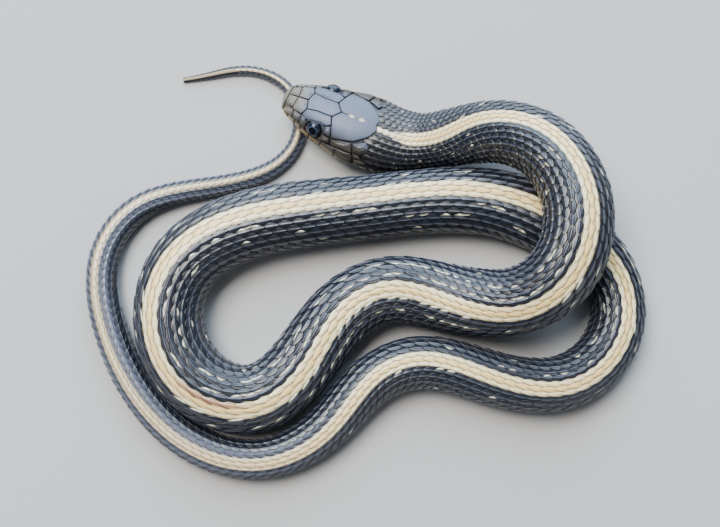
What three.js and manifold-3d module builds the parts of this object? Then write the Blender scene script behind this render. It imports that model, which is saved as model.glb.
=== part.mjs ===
// A garter snake at rest on level ground, life size, about 0.51 m from snout to tail tip.
// Millimetres, +Z up. The origin is on the ground, below the middle of the coils.

import * as THREE from 'three';
import { mergeVertices } from 'three/addons/utils/BufferGeometryUtils.js';
import Module from 'manifold-3d';

// The pose: where the underside of the snake runs, from a point ahead of the snout to one
// past the tail tip. Each row holds x, y, the height above the ground, and the turn of the
// back about the body in degrees, positive towards the snake's own right.
const POSE = [
  [-24.8, 37.6, 3.3, 0], [-15.7, 33.4, 3.1, 0], [-6.9, 29.3, 2.8, 0], [2.3, 25.4, 2.0, -3],
  [12.3, 24.1, 0.8, -13], [23.8, 25.2, 3.8, 6], [34.1, 20.7, 8.8, 10], [39.5, 10.5, 11.3, 10],
  [38.2, -1.2, 10.8, 14], [30.0, -8.2, 5.4, 24], [17.8, -7.7, 0.8, 15], [5.8, -5.2, 0, 6],
  [-4.7, -10.3, 0, 5], [-11.9, -20.1, 0, 18], [-20.7, -26.8, 0, 20], [-31.4, -23.6, 0, 27],
  [-37.4, -13.4, 0, 25], [-35.5, -1.3, 0, 16], [-25.7, 6.2, 0, 9], [-12.7, 9.3, 0, 6],
  [1.3, 10.8, 0, 10], [15.3, 12.3, 0, 10], [28.3, 11.3, 0, 5], [40.3, 5.5, 0, 4],
  [48.8, -4.3, 0, 10], [47.8, -15.7, 0, 14], [38.7, -23.5, 0, 14], [25.9, -23.1, 0, 4],
  [12.7, -19.3, 0, -4], [1.3, -22.9, 0, 0], [-7.3, -32.4, 0, 16], [-19.2, -38.0, 0, 17],
  [-32.4, -35.1, 0, 17], [-42.8, -25.7, 0, 19], [-49.3, -13.0, 0, 22], [-51.5, 1.1, 0, 19],
  [-44.1, 12.3, 0, 13], [-30.7, 15.7, 0, 4], [-18.3, 19.5, 0, 0], [-13.0, 27.5, 0, 3],
  [-15.3, 36.9, 0, 3], [-23.5, 40.8, 0, 9], [-31.7, 39.5, 0, 10], [-37.8, 38.6, 0, 10],
  [-43.7, 37.5, 0, 10],
];
const SAMPLES_PER_ROW = 24;

// The form of the snake, by the distance from the snout: half the width, the heights of
// the underside, of the widest level and of the back, and the roundness of the section
// above and below the widest level, where 2 is an ellipse and more is squarer.
const FORM = [
  [0.0, 1.1, 1.6, 2.3, 3.2, 2.0, 2.0],
  [0.3, 2.2, 1.2, 2.25, 3.65, 2.1, 2.0],
  [1.0, 3.0, 0.75, 2.2, 4.2, 2.2, 2.1],
  [2.4, 3.65, 0.35, 2.1, 4.9, 2.4, 2.2],
  [5.0, 4.7, 0.1, 1.9, 5.75, 2.5, 2.3],
  [7.7, 5.6, 0, 1.85, 6.5, 2.5, 2.3],
  [11.5, 6.5, 0, 1.95, 7.2, 2.35, 2.3],
  [16.3, 7.5, 0, 2.2, 7.8, 2.2, 2.3],
  [19.0, 7.45, 0, 2.45, 8.0, 2.15, 2.3],
  [24.0, 6.55, 0, 2.9, 8.3, 2.15, 2.4],
  [31.0, 5.45, 0, 3.9, 9.3, 2.1, 2.4],
  [45.0, 6.0, 0, 4.8, 10.5, 2.1, 2.5],
  [70.0, 6.45, 0, 5.2, 11.2, 2.1, 2.5],
  [110.0, 6.45, 0, 5.2, 11.4, 2.1, 2.5],
  [138.0, 6.4, 0, 5.2, 11.3, 2.1, 2.5],
  [165.0, 6.65, 0, 5.4, 11.7, 2.1, 2.5],
  [190.0, 6.7, 0, 5.4, 11.8, 2.1, 2.5],
  [205.0, 6.6, 0, 5.3, 11.6, 2.1, 2.5],
  [232.0, 6.2, 0, 5.1, 10.9, 2.1, 2.5],
  [258.0, 6.7, 0, 5.0, 10.8, 2.1, 2.5],
  [270.0, 6.1, 0, 4.8, 10.3, 2.1, 2.5],
  [285.0, 5.15, 0, 4.3, 9.1, 2.1, 2.5],
  [305.0, 5.2, 0, 4.3, 9.1, 2.1, 2.5],
  [332.0, 5.05, 0, 4.2, 8.9, 2.1, 2.5],
  [344.0, 4.7, 0, 3.9, 8.4, 2.1, 2.5],
  [357.0, 4.2, 0, 3.5, 7.6, 2.1, 2.4],
  [370.0, 3.7, 0, 3.1, 6.7, 2.1, 2.4],
  [398.0, 3.3, 0, 2.8, 6.1, 2.0, 2.3],
  [415.0, 3.1, 0, 2.7, 5.8, 2.0, 2.3],
  [427.0, 2.9, 0, 2.5, 5.4, 2.0, 2.3],
  [441.0, 2.4, 0, 2.1, 4.6, 2.0, 2.2],
  [462.0, 1.75, 0, 1.6, 3.4, 2.0, 2.2],
  [485.0, 1.15, 0, 1.1, 2.25, 2.0, 2.2],
  [500.0, 0.87, 0, 0.8, 1.7, 2.0, 2.2],
  [507.0, 0.6, 0, 0.55, 1.2, 2.0, 2.2],
];
// The belly is cut flat at the underside: this much deeper a round one would reach.
const BELLY_OVERHANG = 1.07;

// The head leans a little to the snake's right, and the lean fades along the neck.
const HEAD_LEAN = 5;
const LEAN_FADES_FROM = 16;
const LEAN_FADES_TO = 36;

// Where one length of the body ends and the next begins, with the gap between the two.
const JOINTS = [
  ['neck', 24], ['torso_1', 47], ['torso_2', 71], ['torso_3', 96], ['torso_4', 128],
  ['torso_5', 154], ['torso_6', 184], ['torso_7', 212], ['torso_8', 252], ['torso_9', 282],
  ['torso_10', 308], ['torso_11', 340], ['tail_1', 372], ['tail_2', 404], ['tail_3', 432],
  ['tail_4', 466], ['tail_5', 486],
];
const TAIL_TIP = 508;
const GAP = 0.3;
const RING_SPACING = 3.3;
const TORSO_SIDES = 20;
const TAIL_SIDES = 16;
const TAIL_TIP_SIDES = 12;

// The head.
const HEAD_RINGS = [
  0, 0.3, 1.0, 2.0, 3.3, 4.7, 6.2, 7.7, 9.2, 10.7, 12.3, 13.9, 15.5, 17.1, 18.7, 20.4, 22.1, 23.85,
];
const HEAD_SIDES = 26;
// The mouth line in profile, from ahead of the snout to its corner and down behind the jaw,
// as pairs of distance from the snout and height above the chin.
const MOUTH = [
  [-1.5, 1.45], [1.0, 1.5], [4.0, 1.6], [7.0, 1.75], [10.0, 1.7], [13.0, 1.65], [15.6, 2.0],
  [17.4, 2.0], [18.4, 1.0], [18.8, -2.5],
];
const EYE_RADIUS = 1.7;
const EYE = { along: 8.4, aside: 4.3, above: 4.4 };
const NOSTRIL_RADIUS = 0.33;
const NOSTRIL = { along: 1.8, aside: 2.75, above: 3.7 };

// The shields of the head stand a little above the skin, with a seam between neighbours.
const SHIELD_RISE = 0.2;
const SHIELD_ROOT = 0.35;
const SEAM = 0.16;
const OUTLINE_SPACING = 1.7;
const BROAD_SHIELD = 1.6;
// Shields on top of the head, each corner by its distance from the snout and its distance
// around the skin from the middle of the back.
const FRONTAL = [
  [4.95, 0], [5.5, 1.8], [7.7, 1.5], [10.55, 1.6], [11.9, 0], [10.55, -1.6], [7.7, -1.5], [5.5, -1.8],
];
const TOP_PAIRS = {
  internasal: [[0.9, 0], [0.8, 1.3], [1.5, 2.1], [2.6, 2.35], [2.9, 0]],
  prefrontal: [[2.9, 0], [2.6, 2.35], [3.0, 2.75], [4.9, 3.05], [5.5, 1.8], [4.95, 0]],
  supraocular: [
    [5.5, 1.8], [5.0, 3.1], [6.0, 3.7], [7.5, 3.95], [9.1, 3.85], [10.65, 3.6], [11.15, 3.15],
    [10.55, 1.6], [7.7, 1.5],
  ],
  parietal: [
    [11.9, 0], [10.55, 1.6], [11.15, 3.15], [11.65, 4.5], [12.05, 5.6], [13.9, 5.3], [15.95, 4.85],
    [18.2, 3.2], [19.25, 1.5], [18.65, 0],
  ],
};
// Shields on the sides, each corner by its distance from the snout and its height.
const SIDE_PAIRS = {
  nasal: [[0.75, 2.9], [1.05, 3.6], [1.8, 4.25], [3.0, 4.6], [3.3, 4.3], [3.3, 3.45], [2.3, 3.2], [0.95, 2.65]],
  loreal: [[3.15, 4.65], [4.9, 5.1], [5.2, 4.4], [4.95, 3.7], [3.4, 3.55]],
  preocular: [[5.0, 5.15], [6.0, 5.35], [6.5, 4.9], [6.6, 4.2], [6.3, 3.6], [5.1, 3.7]],
  postocular_upper: [[10.3, 6.4], [11.15, 6.65], [11.6, 6.3], [11.75, 5.6], [10.35, 5.5]],
  postocular_lower: [[10.35, 5.35], [11.8, 5.45], [12.1, 4.75], [11.0, 4.2], [9.9, 3.75], [9.8, 4.3]],
  temporal_front: [[12.1, 5.5], [13.9, 6.3], [15.75, 6.7], [16.45, 5.55], [14.25, 5.15], [12.4, 4.65]],
  temporal_rear: [[15.95, 6.75], [18.3, 7.4], [19.2, 7.05], [19.1, 6.45], [17.75, 5.65], [16.6, 5.75]],
  temporal_low: [[16.4, 5.45], [17.7, 5.5], [18.25, 5.0], [16.95, 4.65]],
  behind_lips: [[17.0, 4.5], [18.3, 4.85], [19.2, 4.6], [18.9, 3.4], [17.3, 2.9]],
};
// The lip shields: where each row is divided, and its lower and upper edges.
const UPPER_LIP = {
  divisions: [1.0, 2.25, 4.1, 5.6, 7.8, 10.45, 13.6, 16.8],
  lower: [[1.0, 1.7], [4.0, 1.8], [7.0, 1.95], [10.0, 1.9], [13.0, 1.85], [15.9, 2.3], [16.8, 2.4]],
  upper: [
    [1.0, 2.55], [2.3, 3.1], [4.45, 3.5], [6.15, 3.45], [7.8, 3.0], [9.4, 3.3], [11.1, 4.0],
    [13.75, 4.5], [16.8, 4.35],
  ],
};
const LOWER_LIP = {
  divisions: [0.9, 2.1, 3.6, 5.4, 7.6, 10.2, 12.9, 15.7],
  lower: [[0.9, 0.95], [3.6, 0.7], [7.6, 0.55], [12.9, 0.5], [15.7, 0.9]],
  upper: [[0.9, 1.3], [4.0, 1.4], [7.0, 1.55], [10.0, 1.5], [13.0, 1.45], [15.7, 1.8]],
};

// Materials.
const BACK_SKIN = { color: 0x22242c, roughness: 0.45, metalness: 0 };
const HEAD_SKIN = { color: 0x5d594e, roughness: 0.42, metalness: 0 };
const CHIN_SKIN = { color: 0xa79c7c, roughness: 0.45, metalness: 0 };
const EYE_GLOSS = { color: 0x0c1018, roughness: 0.06, metalness: 0 };

const wasm = await Module();
wasm.setup();

// Cubic curve through a table's rows that never overshoots them.
function smoothTable(rows, x) {
  const last = rows.length - 1;
  const clamped = Math.min(Math.max(x, rows[0][0]), rows[last][0]);
  let i = 0;
  while (i < last - 1 && rows[i + 1][0] < clamped) i += 1;
  const slope = (k, c) => (rows[k + 1][c] - rows[k][c]) / (rows[k + 1][0] - rows[k][0]);
  const bend = (k, c) => {
    if (k === 0) return slope(0, c);
    if (k === last) return slope(last - 1, c);
    const before = slope(k - 1, c);
    const after = slope(k, c);
    return before * after <= 0 ? 0 : (2 * before * after) / (before + after);
  };
  const width = rows[i + 1][0] - rows[i][0];
  const t = (clamped - rows[i][0]) / width;
  const u = 1 - t;
  const values = [];
  for (let c = 1; c < rows[0].length; c += 1) {
    values.push(rows[i][c] * (1 + 2 * t) * u * u + bend(i, c) * width * t * u * u
      + rows[i + 1][c] * t * t * (3 - 2 * t) - bend(i + 1, c) * width * t * t * u);
  }
  return values;
}

// The route of the underside: a smooth curve through the rows of the pose, with the
// distance from the snout at each sample.
function traceRoute() {
  const controls = POSE.map((row, i) => {
    const before = POSE[Math.max(i - 1, 0)];
    const after = POSE[Math.min(i + 1, POSE.length - 1)];
    const inside = i > 0 && i < POSE.length - 1;
    return row.map((value, k) => (inside ? value - (before[k] - 2 * value + after[k]) / 6 : value));
  });
  const samples = [];
  for (let i = 1; i < controls.length - 2; i += 1) {
    for (let j = 0; j < SAMPLES_PER_ROW; j += 1) {
      const t = j / SAMPLES_PER_ROW;
      const weights = [
        (1 - t) ** 3, 3 * t ** 3 - 6 * t ** 2 + 4, -3 * t ** 3 + 3 * t ** 2 + 3 * t + 1, t ** 3,
      ];
      const value = (k) => weights.reduce((sum, w, n) => sum + w * controls[i - 1 + n][k], 0) / 6;
      samples.push({ point: new THREE.Vector3(value(0), value(1), Math.max(value(2), 0)), turn: value(3) });
    }
  }
  samples[0].along = 0;
  for (let i = 1; i < samples.length; i += 1) {
    samples[i].along = samples[i - 1].along + samples[i].point.distanceTo(samples[i - 1].point);
  }
  return samples;
}

const ROUTE = traceRoute();

function routePoint(along) {
  let high = ROUTE.findIndex((sample) => sample.along > along);
  if (high < 0) high = ROUTE.length - 1;
  high = Math.max(high, 1);
  const a = ROUTE[high - 1];
  const b = ROUTE[high];
  const share = (along - a.along) / (b.along - a.along);
  return a.point.clone().lerp(b.point, share);
}

// The frame at a distance from the snout: towards the tail, to the snake's right, and up.
function frameAt(along) {
  const reach = 0.6;
  const origin = routePoint(along);
  const back = routePoint(along + reach).sub(routePoint(along - reach)).normalize();
  const right = new THREE.Vector3(0, 0, 1).cross(back).normalize();
  const up = back.clone().cross(right);
  const fade = THREE.MathUtils.smoothstep(along, LEAN_FADES_FROM, LEAN_FADES_TO);
  const lean = THREE.MathUtils.degToRad(HEAD_LEAN) * (1 - fade);
  right.applyAxisAngle(back, -lean);
  up.applyAxisAngle(back, -lean);
  return { origin, right, up };
}

// A point of the skin: the angle runs from the middle of the back to the snake's right.
function skinPoint(along, angle) {
  const [half, under, widest, top, roundTop, roundBelow] = smoothTable(FORM, along);
  const { origin, right, up } = frameAt(along);
  const s = Math.sin(angle);
  const c = Math.cos(angle);
  const power = 2 / (c > 0 ? roundTop : roundBelow);
  const aside = half * Math.sign(s) * Math.abs(s) ** power;
  const depth = c > 0 ? top - widest : (widest - under) * BELLY_OVERHANG;
  const level = Math.max(widest + depth * Math.sign(c) * Math.abs(c) ** power, under);
  return origin.addScaledVector(right, aside).addScaledVector(up, level);
}

// The angle at which the skin has gone a given distance around from the middle of the back.
function angleAround(along, distance) {
  const step = Math.PI / 90;
  let angle = 0;
  let gone = 0;
  let point = skinPoint(along, 0);
  while (angle < Math.PI) {
    const next = skinPoint(along, angle + step);
    const stretch = next.distanceTo(point);
    if (gone + stretch >= Math.abs(distance)) {
      return Math.sign(distance) * (angle + (step * (Math.abs(distance) - gone)) / stretch);
    }
    gone += stretch;
    angle += step;
    point = next;
  }
  return Math.sign(distance) * angle;
}

// The angle at which the right side of the skin is at a given height.
function angleAtHeight(along, height) {
  const [, under, widest, top, roundTop, roundBelow] = smoothTable(FORM, along);
  const above = height > widest;
  const depth = above ? top - widest : (widest - under) * BELLY_OVERHANG;
  const share = Math.min(Math.abs(height - widest) / depth, 1);
  const cosine = share ** ((above ? roundTop : roundBelow) / 2);
  return Math.acos(above ? cosine : -cosine);
}

// A point at a height over the skin, which is negative below it.
function overSkin(along, angle, rise) {
  const step = 0.05;
  const backwards = skinPoint(along + step, angle).sub(skinPoint(along - step, angle));
  const around = skinPoint(along, angle + step).sub(skinPoint(along, angle - step));
  return skinPoint(along, angle).addScaledVector(backwards.cross(around).normalize(), rise);
}

function meshGeometry(positions, index) {
  const geometry = new THREE.BufferGeometry();
  geometry.setAttribute('position', new THREE.Float32BufferAttribute(positions, 3));
  geometry.setIndex(index);
  return geometry;
}

// A closed length of the snake: one ring of points at each distance, and a fan on each end.
function bodyLength(distances, sides) {
  const positions = [];
  const index = [];
  const ringCentre = (first) => {
    const sum = [0, 0, 0];
    for (let j = 0; j < sides; j += 1) {
      for (let k = 0; k < 3; k += 1) sum[k] += positions[(first + j) * 3 + k] / sides;
    }
    return sum;
  };
  distances.forEach((along) => {
    for (let j = 0; j < sides; j += 1) {
      positions.push(...skinPoint(along, (2 * Math.PI * j) / sides).toArray());
    }
  });
  for (let i = 0; i < distances.length - 1; i += 1) {
    for (let j = 0; j < sides; j += 1) {
      const a = i * sides + j;
      const b = i * sides + ((j + 1) % sides);
      index.push(a, a + sides, b, b, a + sides, b + sides);
    }
  }
  const lastRing = (distances.length - 1) * sides;
  const front = positions.length / 3;
  positions.push(...ringCentre(0), ...ringCentre(lastRing));
  for (let j = 0; j < sides; j += 1) {
    const next = (j + 1) % sides;
    index.push(front, j, next, front + 1, lastRing + next, lastRing + j);
  }
  return meshGeometry(positions, index);
}

function evenSteps(from, to, spacing) {
  const count = Math.max(Math.round((to - from) / spacing), 1);
  return Array.from({ length: count + 1 }, (unused, i) => from + ((to - from) * i) / count);
}

// A point of the head, by its distance from the snout, its distance to the snake's right
// and its height above the chin.
function headPoint({ along, aside, above }) {
  const { origin, right, up } = frameAt(along);
  return origin.addScaledVector(right, aside).addScaledVector(up, above);
}

function toSolid(geometry) {
  const bare = geometry.clone();
  bare.deleteAttribute('normal');
  bare.deleteAttribute('uv');
  const merged = mergeVertices(bare, 1e-5);
  return new wasm.Manifold(new wasm.Mesh({
    numProp: 3,
    vertProperties: new Float32Array(merged.attributes.position.array),
    triVerts: new Uint32Array(merged.index.array),
  }));
}

function toGeometry(solid) {
  const { vertProperties, triVerts } = solid.getMesh();
  return meshGeometry(Array.from(vertProperties), Array.from(triVerts));
}

// The closed pieces of a solid, the largest first.
function pieces(solid) {
  return solid.decompose().sort((a, b) => b.volume() - a.volume());
}

// Points along an outline, close enough together to follow the skin.
function sampleOutline(corners) {
  return corners.flatMap((corner, i) => {
    const next = corners[(i + 1) % corners.length];
    const length = Math.hypot(next[0] - corner[0], next[1] - corner[1]);
    const count = Math.max(Math.ceil(length / OUTLINE_SPACING), 1);
    return Array.from({ length: count }, (unused, k) => (
      [0, 1].map((c) => corner[c] + ((next[c] - corner[c]) * k) / count)
    ));
  });
}

// One shield: a thin slab over the skin inside an outline, with its edge rounded down and
// its root sunk below the skin. A broad one has two more layers, to follow the skin. Its
// angle comes from each corner's second value.
function shield(corners, angleOf) {
  const outline = sampleOutline(corners);
  const middle = [0, 1].map((c) => outline.reduce((sum, p) => sum + p[c], 0) / outline.length);
  const reaches = outline.map((p) => Math.hypot(p[0] - middle[0], p[1] - middle[1]));
  const layers = [
    { inset: SEAM / 2, share: 1, rise: -SHIELD_ROOT },
    { inset: SEAM / 2, share: 1, rise: SHIELD_RISE * 0.45 },
    { inset: SEAM * 1.6, share: 1, rise: SHIELD_RISE },
  ];
  if (Math.max(...reaches) > BROAD_SHIELD) {
    layers.push({ inset: 0, share: 0.66, rise: SHIELD_RISE * 1.2 });
    layers.push({ inset: 0, share: 0.33, rise: SHIELD_RISE * 1.3 });
  }
  const positions = [];
  const index = [];
  const addPoint = (at, rise) => {
    positions.push(...overSkin(at[0], angleOf(at[0], at[1]), rise).toArray());
  };
  layers.forEach(({ inset, share, rise }) => {
    outline.forEach((p, i) => {
      const kept = share * (1 - Math.min(inset / reaches[i], 0.5));
      addPoint([0, 1].map((c) => middle[c] + (p[c] - middle[c]) * kept), rise);
    });
  });
  addPoint(middle, -SHIELD_ROOT);
  addPoint(middle, SHIELD_RISE * 1.3);
  const count = outline.length;
  const lastLayer = (layers.length - 1) * count;
  for (let j = 0; j < count; j += 1) {
    const next = (j + 1) % count;
    for (let i = 0; i < layers.length - 1; i += 1) {
      const a = i * count + j;
      const b = i * count + next;
      index.push(a, b, a + count, b, b + count, a + count);
    }
    index.push(lastLayer + count, next, j, lastLayer + count + 1, lastLayer + j, lastLayer + next);
  }
  const solid = toSolid(meshGeometry(positions, index));
  if (solid.volume() > 0) return solid;
  for (let i = 0; i < index.length; i += 3) [index[i], index[i + 1]] = [index[i + 1], index[i]];
  return toSolid(meshGeometry(positions, index));
}

// The outlines of one row of lip shields.
function lipOutlines({ divisions, lower, upper }) {
  const edge = (table, along) => smoothTable(table, along)[0];
  return divisions.slice(1).map((to, i) => {
    const from = divisions[i];
    return [
      [from, edge(lower, from)], [from, edge(upper, from)], [(from + to) / 2, edge(upper, (from + to) / 2)],
      [to, edge(upper, to)], [to, edge(lower, to)],
    ];
  });
}

// Every shield of the head, each pair on its two sides.
function headShields() {
  const shields = [shield(FRONTAL, angleAround)];
  const lips = [...lipOutlines(UPPER_LIP), ...lipOutlines(LOWER_LIP)];
  for (const side of [-1, 1]) {
    const around = (along, distance) => side * angleAround(along, distance);
    const atHeight = (along, height) => side * angleAtHeight(along, height);
    shields.push(...Object.values(TOP_PAIRS).map((corners) => shield(corners, around)));
    shields.push(...Object.values(SIDE_PAIRS).map((corners) => shield(corners, atHeight)));
    shields.push(...lips.map((corners) => shield(corners, atHeight)));
  }
  return shields;
}

// A thin sheet that follows the mouth line, wider than the head on both sides.
function mouthSheet() {
  const halfWidth = 10;
  const positions = [];
  const index = [];
  MOUTH.forEach(([along, above], i) => {
    const before = MOUTH[Math.max(i - 1, 0)];
    const after = MOUTH[Math.min(i + 1, MOUTH.length - 1)];
    const run = Math.hypot(after[0] - before[0], after[1] - before[1]);
    const leanAlong = (-(after[1] - before[1]) / run) * (GAP / 2);
    const leanAbove = ((after[0] - before[0]) / run) * (GAP / 2);
    [[1, -1], [1, 1], [-1, 1], [-1, -1]].forEach(([level, side]) => {
      positions.push(...headPoint({
        along: along + level * leanAlong,
        aside: side * halfWidth,
        above: above + level * leanAbove,
      }).toArray());
    });
  });
  for (let i = 0; i < MOUTH.length - 1; i += 1) {
    for (let j = 0; j < 4; j += 1) {
      const a = i * 4 + j;
      const b = i * 4 + ((j + 1) % 4);
      index.push(a, a + 4, b, b, a + 4, b + 4);
    }
  }
  const end = (MOUTH.length - 1) * 4;
  index.push(0, 1, 2, 0, 2, 3, end, end + 2, end + 1, end, end + 3, end + 2);
  return meshGeometry(positions, index);
}

function ball(radius, place, columns, rows) {
  const centre = headPoint(place);
  return new THREE.SphereGeometry(radius, columns, rows).translate(centre.x, centre.y, centre.z);
}

// The upper head and the lower jaw, cut apart along the mouth line.
function headPieces() {
  const skin = toSolid(bodyLength(HEAD_RINGS, HEAD_SIDES));
  let solid = wasm.Manifold.union([skin, ...headShields()]);
  for (const side of [-1, 1]) {
    const socket = ball(EYE_RADIUS + GAP, { ...EYE, aside: side * EYE.aside }, 20, 14);
    const nostril = ball(NOSTRIL_RADIUS, { ...NOSTRIL, aside: side * NOSTRIL.aside }, 8, 6);
    solid = solid.subtract(toSolid(socket)).subtract(toSolid(nostril));
  }
  const [upper, lower] = pieces(solid.subtract(toSolid(mouthSheet())));
  return { upper: toGeometry(upper), lower: toGeometry(lower) };
}

const snake = new THREE.Group();

function addMesh(name, geometry, finish) {
  const mesh = new THREE.Mesh(geometry, new THREE.MeshStandardMaterial(finish));
  mesh.name = name;
  snake.add(mesh);
  return mesh;
}

function addHead() {
  const { upper, lower } = headPieces();
  addMesh('head', upper, HEAD_SKIN);
  addMesh('lower_jaw', lower, CHIN_SKIN);
  for (const [name, side] of [['eye_left', -1], ['eye_right', 1]]) {
    const eye = addMesh(name, new THREE.SphereGeometry(EYE_RADIUS, 20, 14), EYE_GLOSS);
    eye.position.copy(headPoint({ ...EYE, aside: side * EYE.aside }));
  }
}

function addBody() {
  JOINTS.forEach(([name, from], i) => {
    const isLast = i === JOINTS.length - 1;
    const to = isLast ? TAIL_TIP : JOINTS[i + 1][1] - GAP / 2;
    let sides = name.startsWith('tail') ? TAIL_SIDES : TORSO_SIDES;
    if (isLast) sides = TAIL_TIP_SIDES;
    addMesh(name, bodyLength(evenSteps(from + GAP / 2, to, RING_SPACING), sides), BACK_SKIN);
  });
}

addHead();
addBody();

export default snake;
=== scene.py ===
"""The looks of a garter snake at rest: skin, scales, belly plates, head shields and eyes."""

import logging
import math
from dataclasses import dataclass, field
from enum import Enum

import bmesh
import bpy
import numpy as np
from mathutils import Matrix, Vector


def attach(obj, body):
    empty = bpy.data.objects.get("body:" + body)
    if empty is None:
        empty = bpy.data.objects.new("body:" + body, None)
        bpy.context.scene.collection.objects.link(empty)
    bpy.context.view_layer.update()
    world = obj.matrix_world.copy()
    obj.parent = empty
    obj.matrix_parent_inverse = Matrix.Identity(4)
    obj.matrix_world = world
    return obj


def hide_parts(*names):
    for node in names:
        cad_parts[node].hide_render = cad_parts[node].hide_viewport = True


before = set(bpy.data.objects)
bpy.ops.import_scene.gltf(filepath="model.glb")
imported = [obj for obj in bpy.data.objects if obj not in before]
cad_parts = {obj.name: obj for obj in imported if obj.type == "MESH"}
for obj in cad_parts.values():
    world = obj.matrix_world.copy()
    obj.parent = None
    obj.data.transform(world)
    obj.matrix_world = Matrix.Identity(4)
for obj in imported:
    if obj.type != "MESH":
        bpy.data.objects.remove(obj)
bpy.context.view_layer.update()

BODY = "root"
MM = 0.001
SEED = 7
UNWRAP_MARGIN = 0.01

# The pose: x, y and height of the underside, and the turn of the back in degrees.
POSE = (
    (-24.8, 37.6, 3.3, 0), (-15.7, 33.4, 3.1, 0), (-6.9, 29.3, 2.8, 0), (2.3, 25.4, 2.0, -3),
    (12.3, 24.1, 0.8, -13), (23.8, 25.2, 3.8, 6), (34.1, 20.7, 8.8, 10), (39.5, 10.5, 11.3, 10),
    (38.2, -1.2, 10.8, 14), (30.0, -8.2, 5.4, 24), (17.8, -7.7, 0.8, 15), (5.8, -5.2, 0, 6),
    (-4.7, -10.3, 0, 5), (-11.9, -20.1, 0, 18), (-20.7, -26.8, 0, 20), (-31.4, -23.6, 0, 27),
    (-37.4, -13.4, 0, 25), (-35.5, -1.3, 0, 16), (-25.7, 6.2, 0, 9), (-12.7, 9.3, 0, 6),
    (1.3, 10.8, 0, 10), (15.3, 12.3, 0, 10), (28.3, 11.3, 0, 5), (40.3, 5.5, 0, 4),
    (48.8, -4.3, 0, 10), (47.8, -15.7, 0, 14), (38.7, -23.5, 0, 14), (25.9, -23.1, 0, 4),
    (12.7, -19.3, 0, -4), (1.3, -22.9, 0, 0), (-7.3, -32.4, 0, 16), (-19.2, -38.0, 0, 17),
    (-32.4, -35.1, 0, 17), (-42.8, -25.7, 0, 19), (-49.3, -13.0, 0, 22), (-51.5, 1.1, 0, 19),
    (-44.1, 12.3, 0, 13), (-30.7, 15.7, 0, 4), (-18.3, 19.5, 0, 0), (-13.0, 27.5, 0, 3),
    (-15.3, 36.9, 0, 3), (-23.5, 40.8, 0, 9), (-31.7, 39.5, 0, 10), (-37.8, 38.6, 0, 10),
    (-43.7, 37.5, 0, 10),
)
SAMPLES_PER_ROW = 24

# The form by the distance from the snout: half width, heights of the underside, widest
# level and back, and the roundness above and below the widest level.
FORM = (
    (0.0, 1.1, 1.6, 2.3, 3.2, 2.0, 2.0), (0.3, 2.2, 1.2, 2.25, 3.65, 2.1, 2.0),
    (1.0, 3.0, 0.75, 2.2, 4.2, 2.2, 2.1), (2.4, 3.65, 0.35, 2.1, 4.9, 2.4, 2.2),
    (5.0, 4.7, 0.1, 1.9, 5.75, 2.5, 2.3), (7.7, 5.6, 0, 1.85, 6.5, 2.5, 2.3),
    (11.5, 6.5, 0, 1.95, 7.2, 2.35, 2.3), (16.3, 7.5, 0, 2.2, 7.8, 2.2, 2.3),
    (19.0, 7.45, 0, 2.45, 8.0, 2.15, 2.3), (24.0, 6.55, 0, 2.9, 8.3, 2.15, 2.4),
    (31.0, 5.45, 0, 3.9, 9.3, 2.1, 2.4), (45.0, 6.0, 0, 4.8, 10.5, 2.1, 2.5),
    (70.0, 6.45, 0, 5.2, 11.2, 2.1, 2.5), (110.0, 6.45, 0, 5.2, 11.4, 2.1, 2.5),
    (138.0, 6.4, 0, 5.2, 11.3, 2.1, 2.5), (165.0, 6.65, 0, 5.4, 11.7, 2.1, 2.5),
    (190.0, 6.7, 0, 5.4, 11.8, 2.1, 2.5), (205.0, 6.6, 0, 5.3, 11.6, 2.1, 2.5),
    (232.0, 6.2, 0, 5.1, 10.9, 2.1, 2.5), (258.0, 6.7, 0, 5.0, 10.8, 2.1, 2.5),
    (270.0, 6.1, 0, 4.8, 10.3, 2.1, 2.5), (285.0, 5.15, 0, 4.3, 9.1, 2.1, 2.5),
    (305.0, 5.2, 0, 4.3, 9.1, 2.1, 2.5), (332.0, 5.05, 0, 4.2, 8.9, 2.1, 2.5),
    (344.0, 4.7, 0, 3.9, 8.4, 2.1, 2.5), (357.0, 4.2, 0, 3.5, 7.6, 2.1, 2.4),
    (370.0, 3.7, 0, 3.1, 6.7, 2.1, 2.4), (398.0, 3.3, 0, 2.8, 6.1, 2.0, 2.3),
    (415.0, 3.1, 0, 2.7, 5.8, 2.0, 2.3), (427.0, 2.9, 0, 2.5, 5.4, 2.0, 2.3),
    (441.0, 2.4, 0, 2.1, 4.6, 2.0, 2.2), (462.0, 1.75, 0, 1.6, 3.4, 2.0, 2.2),
    (485.0, 1.15, 0, 1.1, 2.25, 2.0, 2.2), (500.0, 0.87, 0, 0.8, 1.7, 2.0, 2.2),
    (507.0, 0.6, 0, 0.55, 1.2, 2.0, 2.2),
)
BELLY_OVERHANG = 1.07
HEAD_LEAN = 5.0
LEAN_FADES = (16.0, 36.0)
TAIL_TIP = 508.0
SKIN_DEPTH = 0.25

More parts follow.
